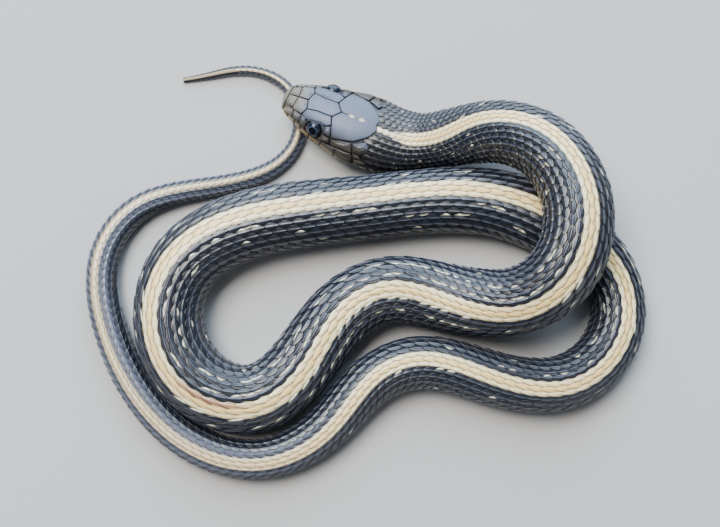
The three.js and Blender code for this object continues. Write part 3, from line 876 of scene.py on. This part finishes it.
@dataclass
class Head:
    """The head's shields, eyes and the places that the skin sinks into.

    An eye and a nostril are placed by distance from the snout, aside and above the chin, and
    an eye looks so much back, aside and up. A shield has a ring at each inset from its edge,
    with its height in parts of the rise, and then crowns, each at a part of the way out,
    with its height. The shades say how far each ring has left the suture's colour: the dark
    suture line at the edge, then painted shade over the rounded edge, and a slight painted
    highlight on the crowns, past 1.
    """

    shape: BodyShape
    markings: Markings
    finishes: Finishes
    eye: tuple = (8.4, 4.3, 4.4)
    look: tuple = (-0.08, 0.76, 0.64)
    eye_reach: float = 1.5
    eye_radius: float = 1.72
    eye_depth: float = 1.3
    eye_flatness: float = 0.94
    eye_rings: int = 26
    eye_columns: int = 48
    socket_depth: float = 1.5
    lid_rise: float = 0.28
    nostril: tuple = (1.8, 2.75, 3.7)
    nostril_depth: float = 0.45
    mouth_depth: float = 0.5
    mouth_width: float = 0.16
    rise: float = 0.13
    root: float = 0.42
    outline_points: int = 72
    insets: tuple = (0.045, 0.045, 0.065, 0.13, 0.24, 0.4)
    heights: tuple = (-3.2, -0.3, 0.55, 0.86, 1.0, 1.03)
    crowns: tuple = ((0.7, 1.08), (0.45, 1.16), (0.2, 1.2))
    shades: tuple = (0.0, 0.0, 0.35, 0.74, 0.86, 0.92, 1.0, 1.04, 1.06)
    throat: tuple = (10.9, 19.6)
    throat_steps: tuple = (1.1, 1.64)
    throat_rhomb: tuple = (1.0, 0.75)

    def gaze(self, side: int) -> tuple[np.ndarray, np.ndarray]:
        """Where an eye is.

        Args:
            side: 1 for the snake's right, -1 for its left.

        Returns:
            The middle of the eye's flattened ball, and the way it looks.
        """
        _, back, right, up = self.shape.axes(np.array(self.eye[0]))
        way = right * side * self.look[1] + up * self.look[2] + back * self.look[0]
        way /= way_length(way)
        ball = self.shape.head_point(self.eye[0], side * self.eye[1], self.eye[2])
        return ball + way * (self.eye_reach - self.eye_depth), way

    def sink(self, points: np.ndarray, along: np.ndarray, level: np.ndarray) -> np.ndarray:
        """How far the skin sinks for the mouth, the eyes and the nostrils.

        The mouth is a bell curve across its line. An eye's socket and a nostril are soft
        steps by the distance off their middles, and a low lid stands round the socket.

        Args:
            points: Points of the outer surface.
            along: Their distances from the snout.
            level: Their heights over the underside line.

        Returns:
            A depth for each point.
        """
        mouth = np.interp(along, *np.transpose(MOUTH))
        groove = self.mouth_depth * np.exp(-(((level - mouth) / self.mouth_width) ** 2))
        deep = groove * (1 - smooth(along, MOUTH_CORNER - 0.8, MOUTH_CORNER))
        for side in (-1, 1):
            middle, way = self.gaze(side)
            ahead = (points - middle) @ way
            off_axis = np.linalg.norm(points - middle - ahead[..., None] * way, axis=-1)
            pit = 1 - smooth(off_axis, self.eye_radius - 0.2, self.eye_radius + 0.05)
            lid = smooth(off_axis, self.eye_radius, self.eye_radius + 0.1)
            lid = lid * (1 - smooth(off_axis, self.eye_radius + 0.35, self.eye_radius + 0.8))
            deep = deep + (self.socket_depth * pit - self.lid_rise * lid) * (ahead > -0.5)
            hole = self.shape.head_point(self.nostril[0], side * self.nostril[1], self.nostril[2])
            away = np.linalg.norm(points - hole, axis=-1)
            deep = deep + self.nostril_depth * (1 - smooth(away, 0.2, 0.42))
        return deep

    def _resampled(self, corners: tuple) -> np.ndarray:
        """Evenly spaced points along a closed outline, its corners a little rounded.

        Each point is then the mean of itself, counted twice, and its two neighbours.

        Args:
            corners: The outline's corners in order.

        Returns:
            The points, as many as outline_points.
        """
        loop = np.array([*corners, corners[0]], float)
        lengths = np.concatenate([[0], np.cumsum(np.linalg.norm(np.diff(loop, axis=0), axis=1))])
        even = np.linspace(0, lengths[-1], self.outline_points, endpoint=False)
        outline = np.stack([np.interp(even, lengths, loop[:, k]) for k in range(2)], axis=-1)
        return (np.roll(outline, 1, 0) + 2 * outline + np.roll(outline, -1, 0)) / 4

    def _on_tip(self, x: np.ndarray, y: np.ndarray, lift: np.ndarray) -> np.ndarray:
        """Points over the tip of the snout: a low dome on the disc, and the surface past its rim.

        Args:
            x: Places across the disc, to the snake's right.
            y: Places up the disc.
            lift: Heights over the surface.

        Returns:
            A point for each place.
        """
        reach = np.hypot(x, y)
        angle = np.arctan2(x, y)
        along = np.maximum(reach - 1, 0)
        rim = self.shape.on_surface(along, angle)
        outwards = self.shape.place(along, angle, np.ones_like(along)) - rim
        origin, back, _, up = self.shape.axes(along)
        middle = origin + up * (FORM[0][3] + 0.1)
        share = np.minimum(reach, 1)[:, None]
        way = outwards * share - back * (1 - share)
        way /= way_length(way)
        return middle + (rim - middle) * share - back * 0.22 * (1 - share**2) + way * lift[:, None]

    def _lie(self, chart: Chart, side: int, flat: np.ndarray, lift: np.ndarray) -> tuple[np.ndarray, ...]:
        """Reads places on a chart.

        Args:
            chart: What the numbers are.
            side: 1 for the snake's right, -1 for its left.
            flat: The places.
            lift: Heights over the outer surface.

        Returns:
            Points, distances from the snout, and angles.
        """
        along, way = flat[:, 0], flat[:, 1]
        if chart is Chart.TIP:
            angle = np.arctan2(along, way)
            points = self._on_tip(along, way, lift)
            return points, np.maximum(np.hypot(along, way) - 1, 0), angle
        girth = self.shape.half_girth(along)
        if chart is Chart.AROUND:
            angle = self.shape.angle_at_share(along, np.abs(way) / girth) * np.sign(way)
        elif chart is Chart.HEIGHT:
            angle = self.shape.angle_at_height(along, way)
        else:
            angle = self.shape.angle_at_share(along, 1 - way / girth)
        return self.shape.place(along, side * angle, lift), along, side * angle

    def _shield(self, corners: tuple, chart: Chart, side: int) -> tuple[np.ndarray, ...]:
        """One shield: rings that shrink towards the middle of its outline.

        The height over the surface follows the ring: sunk at the root, rounded over the
        edge, then nearly flat.

        Args:
            corners: The outline's corners on the chart.
            chart: What the corners' numbers are.
            side: 1 for the snake's right, -1 for its left.

        Returns:
            Points, distances from the snout, angles, and heights over the surface.
        """
        outline = self._resampled(corners)
        middle = outline.mean(axis=0)
        spokes = outline - middle
        reach = way_length(spokes)
        size = min(reach.mean() / 1.5, 1.3)
        along_edge = np.roll(outline, -1, 0) - np.roll(outline, 1, 0)
        along_edge /= way_length(along_edge)
        off_edge = np.abs(spokes[:, :1] * along_edge[:, 1:] - spokes[:, 1:] * along_edge[:, :1])
        off_edge = (np.roll(off_edge, 1, 0) + off_edge + np.roll(off_edge, -1, 0)) / 3
        off_edge = np.maximum(off_edge, reach * 0.3)
        rings = [middle + spokes * (1 - np.minimum(inset / off_edge, 0.6)) for inset in self.insets]
        rises = [height * self.rise for height in self.heights]
        for share, height in self.crowns:
            rings.append(middle + spokes * np.minimum(share, 1 - np.minimum(self.insets[-1] / off_edge, 0.6)))
            rises.append(self.rise * (1 + (height - 1) * size))
        flat = np.concatenate([np.stack(rings).reshape(-1, 2), [middle, middle]])
        lift = np.concatenate([np.repeat(rises, len(outline)), [rises[-1], -self.root]])
        points, along, angle = self._lie(chart, side, flat, lift)
        return points, along, angle, lift

    def _lips(self) -> list[tuple]:
        """The shields along both lips, between their divisions.

        Returns:
            The corners of each, by distance from the snout and height.
        """
        found = []
        for lip in (UPPER_LIP, LOWER_LIP):
            lower = SmoothTable(lip["lower"])
            upper = SmoothTable(lip["upper"])
            for start, end in zip(lip["divisions"][:-1], lip["divisions"][1:]):
                places = np.array([start, (start + end) / 2, end])
                high = [(place, float(upper.column(place))) for place in places]
                low = [(place, float(lower.column(place))) for place in places[::-1]]
                found.append((*high, *low))
        return found

    def _throat(self) -> list[tuple[tuple, int]]:
        """The small shields of the throat: a lattice of rhombs, as far out as the jaw is flat.

        Returns:
            The corners of each, and its side.
        """
        found = []
        step, spacing = self.throat_steps
        long, wide = self.throat_rhomb
        for column, along in enumerate(np.arange(*self.throat, step)):
            for way in np.arange(spacing / 2 * (column % 2), self.shape.form.at(along)[0] * 0.62, spacing):
                rhomb = ((along - long, way), (along, way + wide), (along + long, way), (along, way - wide))
                found += [(rhomb, side) for side in ((1, -1) if way > 0 else (1,))]
        return found

    def _outlines(self) -> list[tuple]:
        """Every shield, with the two sides alike.

        Returns:
            The corners, the chart and the side of each.
        """
        turn = np.linspace(-math.pi, math.pi, 48, endpoint=False)
        reach = 1.1 + 0.66 * smooth(np.cos(turn), -0.6, -0.1)
        rostral = tuple(zip(reach * np.sin(turn), reach * np.cos(turn)))
        found = [(rostral, Chart.TIP, 1), (FRONTAL, Chart.AROUND, 1), (CHIN, Chart.BELOW, 1)]
        found += [(corners, Chart.BELOW, side) for corners, side in self._throat()]
        lips = self._lips()
        for side in (-1, 1):
            found += [(corners, Chart.AROUND, side) for corners in TOP_PAIRS.values()]
            found += [(corners, Chart.HEIGHT, side) for corners in SIDE_PAIRS.values()]
            found += [(corners, Chart.HEIGHT, side) for corners in lips]
            found += [(corners, Chart.BELOW, side) for corners in CHIN_PAIRS.values()]
        return found

    def shields(self) -> bpy.types.Object:
        """All the shields of the head, as one piece.

        Returns:
            The piece, which stands in for no node: the skin replaces the head.
        """
        points = []
        colours = []
        bake = []
        rings = len(self.insets) + len(self.crowns)
        last = rings * self.outline_points
        shade = np.concatenate([np.repeat(self.shades, self.outline_points), [self.shades[-1], 0]])
        for corners, chart, side in self._outlines():
            placed, along, angle, lift = self._shield(corners, chart, side)
            aside, level = self.shape.section(along, angle)
            colour = self.markings.head(along, level)
            # The suture's dark colour at each shield's edge, then painted shade over its rounded edge, and a
            # slight painted highlight on its crown.
            colour = blend(Colour.SUTURE, colour, shade)
            on_crown = self.markings.spot(along, np.abs(aside)) * (lift > 0) * (level > 4)
            points.append(placed)
            colours.append(blend(colour, Colour.SPOT, on_crown * 0.85))
            bake.append(bake_place(along, np.clip(angle / math.pi, -1.1, 1.1)))
        grid = grid_faces(rings, self.outline_points, True)
        fans = pole_fans(rings, self.outline_points, last + 1, last)
        faces = [repeated(group, len(points), last + 2) for group in (grid, fans)]
        piece = add_object(
            "head_shields", np.concatenate(points), faces, np.concatenate(bake), np.concatenate(colours)
        )
        self._face_outwards(piece)
        piece.data.materials.append(self.finishes.shield)
        return piece

    def _face_outwards(self, piece: bpy.types.Object) -> None:
        """Recalculates the faces' directions, since the mirrored outlines run the other way.

        Args:
            piece: A piece of closed shapes.
        """
        work = bmesh.new()
        work.from_mesh(piece.data)
        bmesh.ops.recalc_face_normals(work, faces=work.faces)
        work.to_mesh(piece.data)
        work.free()

    def eyeball(self, name: str, side: int) -> bpy.types.Object:
        """One eye: a flattened ball whose pole faces out, with the angle off the gaze stored.

        Args:
            name: The node that the eye replaces.
            side: 1 for the snake's right, -1 for its left.

        Returns:
            The piece.
        """
        rings = self.eye_rings
        columns = self.eye_columns
        polar = np.linspace(0, math.pi, rings + 2)[1:-1, None]
        turn = np.linspace(0, 2 * math.pi, columns, endpoint=False)[:, None]
        centre, gaze = self.gaze(side)
        first = np.cross(gaze, [0.0, 0.0, 1.0])
        first /= way_length(first)
        second = np.cross(gaze, first)
        wide = self.eye_radius * np.sin(polar)[..., None]
        ring = wide * (np.cos(turn) * first + self.eye_flatness * np.sin(turn) * second)
        ball = ring + np.cos(polar)[..., None] * gaze * self.eye_depth
        ball = np.concatenate([ball.reshape(-1, 3), [gaze * self.eye_depth, -gaze * self.eye_depth]])
        first_pole = rings * columns
        faces = [grid_faces(rings, columns, True), pole_fans(rings, columns, first_pole, first_pole + 1)]
        reach = np.concatenate([np.repeat(polar[:, 0], columns), [0, math.pi]])
        share = side * (0.35 + 0.02 * np.sin(reach))
        bake = bake_place(self.eye[0] + np.cos(reach), share)
        piece = add_object(name + "_ball", centre + ball, faces, bake)
        layer = piece.data.attributes.new("gaze", "FLOAT", "POINT")
        layer.data.foreach_set("value", reach.astype(np.float32))
        self._face_outwards(piece)
        piece.data.materials.append(self.finishes.eye)
        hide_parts(name)
        return piece


@dataclass
class Skin:
    """One skin under all the scales, from the snout to the tail tip."""

    shape: BodyShape
    markings: Markings
    finishes: Finishes
    head: Head
    columns: int = 144
    nose: tuple = (0.0, 0.08, 0.16, 0.25, 0.36, 0.48, 0.6, 0.75, 0.9, 1.05)
    head_places: tuple = (1.2, 24.0, 0.17)
    body_places: tuple = (24.0, TAIL_TIP - 1, 1.1)
    last_place: float = TAIL_TIP - 0.4
    # Painted shade for the skin, which shows only in the gaps between scales and between shields: on the body
    # and on the head.
    body_shade: float = 0.55
    head_shade: float = 0.4

    def build(self) -> bpy.types.Object:
        """A grid of rings sunk by the depth of the scales, closer on the head, closed at its ends.

        Returns:
            The piece, which replaces every node of flesh.
        """
        even = [np.arange(*self.head_places), np.arange(*self.body_places)]
        places = np.concatenate([self.nose, *even, [self.last_place]])
        share = np.linspace(-1, 1, self.columns, endpoint=False)
        along, shares = np.meshgrid(places, share, indexing="ij")
        angle = self.shape.angle_at_share(along, shares)
        outer = self.shape.on_surface(along, angle)
        _, level = self.shape.section(along, angle)
        depth = SKIN_DEPTH * smooth(along, 0, 2) + 0.05 + self.head.sink(outer, along, level)
        depth = np.minimum(depth, np.where(along > TAIL_TIP - 12, 0.12, 5.0))
        points = self.shape.place(along, angle, -depth)
        # The skin's colour is the marking darkened by painted shade, for the gaps that it shows through.
        body = self.markings.body(along, shares, np.full(along.shape, 0.1)) * self.body_shade
        head = self.markings.head(along, level) * self.head_shade
        colour = blend(head, body, smooth(along, 18.0, 19.0))
        rows = len(places)
        ends = np.stack([points[0].mean(0), points[-1].mean(0)])
        points = np.concatenate([points.reshape(-1, 3), ends])
        colour = np.concatenate([colour.reshape(-1, 3), colour[[0, -1], 0]])
        tips = bake_place(np.array([0, TAIL_TIP]), np.zeros(2))
        bake = np.concatenate([bake_place(along, shares).reshape(-1, 2), tips])
        first_pole = rows * self.columns
        fans = pole_fans(rows, self.columns, first_pole, first_pole + 1)
        piece = add_object("snake_skin", points, [grid_faces(rows, self.columns, True), fans], bake, colour)
        piece.data.materials.append(self.finishes.skin)
        flesh = [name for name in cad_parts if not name.startswith("eye")]
        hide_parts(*flesh)
        return piece


@dataclass(frozen=True)
class ScaleForm:
    """The form of one scale, in parts of the pitch along and of the row spacing across."""

    length: float = 1.75
    front: float = -0.85
    half_width: float = 0.72
    widest: float = 0.46
    point: float = 0.7
    keel: float = 0.12
    keel_width: float = 0.08
    dome: float = 0.08
    lift: float = 0.31
    across: tuple = (-1.0, -0.8, -0.5, -0.1, 0.0, 0.1, 0.5, 0.8, 1.0)
    steps: tuple = (0.12, 0.34, 0.52, 0.7, 0.85, 0.95)

    def template(self) -> tuple[np.ndarray, np.ndarray, np.ndarray, list[np.ndarray]]:
        """The points and faces of one scale.

        Rows of points cross the scale from front to rear, with one point at each end. The
        half width is an arch that ends in a rear point. The height rises to the rear, with
        a dome across and a sharp keel along the middle, both lower where the scale ahead
        covers it.

        Returns:
            Distances back, distances across, heights, and faces.
        """
        u, v = np.meshgrid(self.steps, self.across, indexing="ij")
        u = np.concatenate([u.ravel(), [0.0, 1.0]])
        v = np.concatenate([v.ravel(), [0.0, 0.0]])
        ahead = np.clip(u / self.widest, 0, 1)
        behind = np.clip((u - self.widest) / (1 - self.widest), 0, 1)
        arch = np.sqrt(np.clip(1 - (1 - ahead) ** 2, 0, 1)) * (1 - behind**1.8) ** self.point
        shown = smooth(u, 0.25, 0.62)
        height = self.lift * u - 0.06
        height = height + self.dome * (1 - v * v) * shown * (1 - 0.4 * smooth(u, 0.85, 1))
        ridge = self.keel * np.exp(-((v / self.keel_width) ** 2))
        height = height + ridge * shown * (1 - 0.3 * smooth(u, 0.9, 1))
        return self.front + self.length * u, v * arch * self.half_width, height, self._faces()

    def _faces(self) -> list[np.ndarray]:
        """The upper grid, a flat underside between the edges, and a fan at each end.

        Returns:
            Three arrays of corner numbers, in that order.
        """
        rows = len(self.steps)
        columns = len(self.across)
        front = rows * columns
        tip = front + 1
        j = np.arange(columns - 1)
        last = (rows - 1) * columns
        fans = np.concatenate([
            np.stack([np.full(columns - 1, front), j, j + 1], -1),
            np.stack([np.full(columns - 1, tip), last + j + 1, last + j], -1),
            [[front, columns - 1, 0], [tip, last, last + columns - 1]],
        ])
        i = np.arange(rows - 1)
        near = i * columns
        far = near + columns
        under = np.stack([near, near + columns - 1, far + columns - 1, far], -1)
        return [grid_faces(rows, columns, False), under, fans]


class Zone(Enum):
    """The pieces that the scales are joined into."""

    NECK = ("neck_scales", 18.0, 70.0)
    FRONT = ("torso_front_scales", 70.0, 170.0)
    MIDDLE = ("torso_middle_scales", 170.0, 270.0)
    REAR = ("torso_rear_scales", 270.0, 372.0)
    TAIL = ("tail_scales", 372.0, 507.0)


@dataclass
class Coat:
    """The scales of the back and sides and the plates of the belly.

    By distance from the snout, the tables give the pitch of the columns, the number of rows
    on each side and the chance of a fleck. The first scales grow at one distance on the
    back and at a lesser one on the sides.
    """

    shape: BodyShape
    markings: Markings
    finishes: Finishes
    widening: float = 0.2
    pitch: SmoothTable = field(default_factory=lambda: SmoothTable((
        (14, 1.25), (18, 1.3), (30, 1.5), (60, 1.85), (85, 2.3), (110, 2.65), (150, 2.9), (200, 2.85),
        (250, 2.85), (290, 2.5), (330, 2.2), (372, 2.0), (430, 1.7), (508, 1.1),
    )))
    rows: SmoothTable = field(default_factory=lambda: SmoothTable((
        (16, 9.3), (240, 9.3), (262, 8.4), (300, 8.3), (340, 7.4), (366, 6.3), (395, 5.3), (420, 4.3),
        (450, 3.3), (480, 2.4), (508, 1.6),
    )))
    flecked: SmoothTable = field(default_factory=lambda: SmoothTable((
        (20, 0.04), (60, 0.12), (85, 0.35), (95, 0.5), (165, 0.5), (185, 0.2), (300, 0.16), (365, 0.0),
    )))
    first: tuple = (18.1, 15.6)
    dotted: tuple = (22.0, 75.0)
    stripe_rows: int = 2
    stripe_height: float = 0.45
    # The brown tint of the painted shade on pale scales, then where the painted shade at a scale's side edges
    # starts and ends, and how dark it is.
    stripe_shade_tint: tuple = (1.0, 0.93, 0.8)
    rim: tuple = (0.45, 0.85)
    rim_shade: float = 0.75
    fleck_across: tuple = (0.45, 0.75)
    fleck_along: tuple = (0.36, 0.5, 0.7, 0.86)
    fleck_rows: tuple = (2, 5)
    full_spacing: float = 1.3
    # How strongly the painted highlight along the keels is blended in.
    own_marking: float = 0.75
    keel_highlight: float = 0.5
    patch: float = 0.0015
    plate: ScaleForm = ScaleForm(
        length=1.5, front=-0.6, half_width=1.0, widest=0.25, point=0.22, keel=0.0, dome=0.05, lift=0.2,
        across=(-1.0, -0.9, -0.7, -0.45, -0.2, 0.0, 0.2, 0.45, 0.7, 0.9, 1.0),
    )

    def __post_init__(self) -> None:
        """Counts the columns of scales along the body."""
        self.places = np.linspace(14, TAIL_TIP, 2000)
        steps = np.diff(self.places) / self.pitch.column(self.places[1:])
        self.counts = np.concatenate([[0], np.cumsum(steps)])
        self.chance = np.random.default_rng(SEED)

    def _roots(self) -> tuple[np.ndarray, np.ndarray, np.ndarray, np.ndarray]:
        """Where every scale grows; odd rows lie half a pitch back.

        A row's girth share is its number over the count of rows, t, times 1 - w + w t
        squared, where w is the widening: rows are narrow by the stripe and wide by the belly.

        Returns:
            Distances, rows, girth shares, and the spacing of the rows as a girth share.
        """
        columns = np.arange(int(self.counts[-1]) - 1)
        row = np.arange(-9, 10)
        column, row = np.meshgrid(columns, row, indexing="ij")
        along = np.interp(column + 0.5 * (row % 2), self.counts, self.places)
        t = row / (self.rows.column(along) + 0.5)
        edge = self.markings.ventral_edge
        share = edge * t * (1 - self.widening + self.widening * t * t)
        spacing = edge * (1 - self.widening + 3 * self.widening * t * t) / (self.rows.column(along) + 0.5)
        start = np.where(np.abs(share) > 0.52, self.first[1], self.first[0])
        kept = (np.abs(t) < 1 - 0.05 / (self.rows.column(along) + 0.5)) & (along > start)
        return along[kept], row[kept], share[kept], spacing[kept]

    def _lay(
        self,
        form: ScaleForm,
        along: np.ndarray,
        share: np.ndarray,
        half: np.ndarray,
        height: np.ndarray,
        tilt: np.ndarray,
    ) -> tuple[np.ndarray, ...]:
        """Lays copies of one form on the skin.

        Args:
            form: The scale's form.
            along: Each root's distance from the snout.
            share: Each root's girth share.
            half: Each scale's row spacing, as a girth share.
            height: What each scale's heights are multiplied by.
            tilt: How far each scale's rear is moved across, as a girth share.

        Returns:
            Points, distances, shares, and places on the unwrap.
        """
        back, across, up, _ = form.template()
        pitch = self.pitch.column(along)
        s = along[:, None] + back * pitch[:, None]
        s = np.clip(s, 0.5, TAIL_TIP - 0.1)
        f = share[:, None] + across * half[:, None] + tilt[:, None] * back
        rise = up * height[:, None] - SKIN_DEPTH
        points = self.shape.place(s, self.shape.angle_at_share(s, f), rise)
        root = bake_place(along, share)[:, None, :]
        patch = np.stack([back / form.length, across], axis=-1) * self.patch
        return points, s, f, root + patch

    def _join(self, name: str, form: ScaleForm, laid: tuple, colours: np.ndarray) -> bpy.types.Object:
        """Joins laid scales into one piece, their undersides flat.

        Args:
            name: The piece's name.
            form: The scales' form.
            laid: What the method that lays them returned.
            colours: A colour for each point of each scale.

        Returns:
            The piece.
        """
        points, _, _, bake = laid
        faces = [repeated(group, *points.shape[:2]) for group in form.template()[3]]
        upper, under, fans = (len(group) for group in faces)
        flat = np.repeat([False, True, False], [upper, under, fans])
        points, bake, colours = points.reshape(-1, 3), bake.reshape(-1, 2), colours.reshape(-1, 3)
        return add_object(name, points, faces, bake, colours, flat)

    def scales(self, zone: Zone) -> bpy.types.Object:
        """The keeled scales of one zone of the back and sides.

        Args:
            zone: The stretch of the body.

        Returns:
            The piece.
        """
        name, start, end = zone.value
        along, row, share, half = self._roots()
        chosen = (along >= start) & (along < end)
        along, row, share, half = along[chosen], row[chosen], share[chosen], half[chosen]
        spacing = half * self.shape.half_girth(along)
        form = ScaleForm()
        height = np.clip(spacing / self.full_spacing, 0.25, 1.0)
        height = height * self.chance.uniform(0.9, 1.1, len(along))
        height = height * np.where(np.abs(row) < self.stripe_rows, self.stripe_height, 1.0)
        tilt = self.chance.uniform(-0.03, 0.03, len(along)) * half
        laid = self._lay(form, along, share, half, height, tilt)
        colours = self._colours(laid, form, along, row, share)
        piece = self._join(name, form, laid, colours)
        piece.data.materials.append(self.finishes.scale)
        return piece

    def _colours(
        self, laid: tuple, form: ScaleForm, along: np.ndarray, row: np.ndarray, share: np.ndarray
    ) -> np.ndarray:
        """Paints the scales: the body's marking, painted shade at their edges and under the scale ahead, a
        painted highlight along the keel, and pale flecks.

        A scale mostly has the marking of its root, so that the stripe's edge runs from
        scale to scale.

        Args:
            laid: What the method that lays the scales returned.
            form: The scales' form.
            along: Each root's distance from the snout.
            row: Each root's row, 0 along the middle of the back.
            share: Each root's girth share.

        Returns:
            A colour for each point of each scale.
        """
        back, across, _, _ = form.template()
        _, s, f, _ = laid
        tint = self.chance.uniform(0, 1, len(along))[:, None]
        marked = share[:, None] + self.own_marking * (f - share[:, None])
        colour = self.markings.body(s, marked, np.broadcast_to(tint, s.shape))
        u = (back - form.front) / form.length
        v = np.abs(across) / form.half_width
        side = np.tile(np.abs(form.across), len(form.steps))
        side = np.concatenate([side, [1.0, 1.0]])
        pale = smooth(colour.mean(axis=-1), 0.2, 0.4)
        # Painted shade: each scale darkens towards its side edges and towards its front, where the scale
        # ahead covers it. On pale scales the shade turns brown.
        rim = smooth(side, *self.rim) * (self.rim_shade - 0.15 * pale)
        painted_shade = (1 - rim) * (0.65 + 0.35 * smooth(u, 0.2, 0.5))
        shade_tint = np.array(self.stripe_shade_tint) ** (1 - painted_shade)[..., None]
        colour = colour * painted_shade[..., None] * np.where(pale[..., None] > 0.5, shade_tint, 1.0)
        # A thin pale line painted along the keel of each dark scale: a painted highlight, the keel's
        # reflection of the light.
        keel = (side < 0.05) * smooth(u, 0.35, 0.55) * (1 - pale) * smooth(s, 22, 40)
        colour = blend(colour, Colour.KEEL_HIGHLIGHT, keel * self.keel_highlight)
        rank = np.abs(row)
        chance = self.chance.uniform(0, 1, len(along))
        upper = (rank >= self.fleck_rows[0]) & (rank <= self.fleck_rows[1])
        likely = self.flecked.column(along) * np.where(upper, 1.0, 0.25)
        fleck = ((chance < likely) & (rank >= self.stripe_rows))[:, None]
        one_side = across * np.where(row % 2, 1, -1)[:, None] > 0
        streak = smooth(side, *self.fleck_across) * one_side
        streak = streak * smooth(u, *self.fleck_along[:2]) * (1 - smooth(u, *self.fleck_along[2:]))
        colour = blend(colour, Colour.FLECK, fleck * streak * 0.95)
        on_neck = (along > self.dotted[0]) & (along < self.dotted[1])
        dotted = (share < 0) & (rank >= self.stripe_rows) & on_neck & (chance > 0.55)
        dot = dotted[:, None] * smooth(u, 0.93, 0.99) * (v < 0.3)
        return blend(colour, Colour.FLECK, dot * 0.8)

    def belly(self, name: str, start: float, end: float, divided: bool) -> bpy.types.Object:
        """The plates of the belly, one to each column of scales, or two on the tail.

        Args:
            name: The piece's name.
            start: The first plate's least distance from the snout.
            end: The distance before which the last plate grows.
            divided: Whether each plate is a pair.

        Returns:
            The piece.
        """
        columns = np.arange(int(self.counts[-1]) - 1)
        along = np.interp(columns + 0.25, self.counts, self.places)
        along = along[(along >= start) & (along < end)]
        half = np.full(len(along), (1 - self.markings.ventral_edge) * 1.2)
        share = np.ones(len(along))
        if divided:
            half = half / 2
            share = np.concatenate([1 - half * 1.02, -1 + half * 1.02])
            along = np.concatenate([along, along])
            half = np.concatenate([half, half])
        height = 0.95 * np.clip(self.shape.half_girth(along) / 18, 0.25, 1)
        laid = self._lay(self.plate, along, share, half, height, np.zeros(len(along)))
        tint = self.chance.uniform(0, 1, len(along))
        _, s, f, _ = laid
        wrapped = (f + 1) % 2 - 1
        colour = self.markings.body(s, wrapped, np.broadcast_to(tint[:, None], s.shape))
        piece = self._join(name, self.plate, laid, colour)
        piece.data.materials.append(self.finishes.belly)
        return piece


@dataclass(frozen=True)
class Lamp:
    """One soft square light aimed at the snake: place and size in metres, power in watts."""

    name: str
    place: tuple
    size: float
    power: float
    tint: tuple

    def build(self) -> None:
        """Hangs the lamp."""
        lamp = bpy.data.lights.new(self.name, "AREA")
        lamp.size = self.size
        lamp.energy = self.power
        lamp.color = self.tint
        made = bpy.data.objects.new(self.name, lamp)
        made.location = self.place
        made.rotation_euler = (-Vector(self.place)).to_track_quat("-Z", "Y").to_euler()
        bpy.context.scene.collection.objects.link(made)


@dataclass(frozen=True)
class Studio:
    """The floor, the light and the camera at the photograph's viewing angle."""

    look_at: tuple = (-0.0007, 0.0005, 0.0)
    camera_at: tuple = (-0.0007, -0.03581, 0.20593)
    field_of_view: float = 38.0
    half_floor: float = 1.5
    lamps: tuple = (
        Lamp("sky", (0.0, 1.0, 0.62), 1.5, 46.0, (0.62, 0.8, 1.0)),
        Lamp("top", (-0.3, 0.25, 0.9), 0.5, 16.0, (1.0, 0.97, 0.92)),
        Lamp("fill", (0.5, -0.7, 0.5), 0.6, 0.9, (1.0, 0.97, 0.93)),
    )
    room: tuple = (0.74, 0.84, 1.0, 1)
    room_strength: float = 0.18

    def floor(self) -> None:
        """A wide pale floor."""
        half = self.half_floor
        corners = [(-half, -half, 0), (half, -half, 0), (half, half, 0), (-half, half, 0)]
        mesh = bpy.data.meshes.new("floor")
        mesh.from_pydata(corners, [], [(0, 1, 2, 3)])
        floor = bpy.data.objects.new("floor", mesh)
        bpy.context.scene.collection.objects.link(floor)
        shader = Shader("pale_floor")
        cloud = shader.noise(40, 2)
        colour = shader.mix(cloud * 0.1, (0.46, 0.45, 0.44, 1), (0.4, 0.39, 0.38, 1))
        mesh.materials.append(shader.close({"Base Color": colour, "Roughness": 0.8}))

    def camera(self) -> None:
        """The camera, at the photograph's viewing angle."""
        lens = bpy.data.cameras.new("camera")
        lens.sensor_fit = "HORIZONTAL"
        lens.angle = math.radians(self.field_of_view)
        lens.clip_start = 0.001
        made = bpy.data.objects.new("camera", lens)
        made.location = self.camera_at
        away = Vector(self.look_at) - Vector(self.camera_at)
        made.rotation_euler = away.to_track_quat("-Z", "Y").to_euler()
        bpy.context.scene.collection.objects.link(made)
        bpy.context.scene.camera = made

    def build(self) -> None:
        """Sets everything up."""
        self.camera()
        self.floor()
        for lamp in self.lamps:
            lamp.build()
        world = bpy.data.worlds.new("pale_room")
        world.use_nodes = True
        background = world.node_tree.nodes["Background"]
        background.inputs[0].default_value = self.room
        background.inputs[1].default_value = self.room_strength
        bpy.context.scene.world = world


def main() -> None:
    """Builds the studio and the snake."""
    logging.basicConfig(level=logging.INFO, format="%(message)s")
    log = logging.getLogger("snake")
    Studio().build()
    shape = BodyShape()
    markings = Markings(shape)
    finishes = Finishes()
    head = Head(shape, markings, finishes)
    coat = Coat(shape, markings, finishes)
    made = [Skin(shape, markings, finishes, head).build(), head.shields()]
    made += [head.eyeball("eye_left", -1), head.eyeball("eye_right", 1)]
    made += [coat.scales(zone) for zone in Zone]
    made.append(coat.belly("belly_plates", 19.0, 368.0, False))
    made.append(coat.belly("tail_plates", 368.0, 506.0, True))
    for piece in made:
        log.info("%s: %d points, %d faces", piece.name, len(piece.data.vertices), len(piece.data.polygons))


if __name__ == "__main__":
    main()
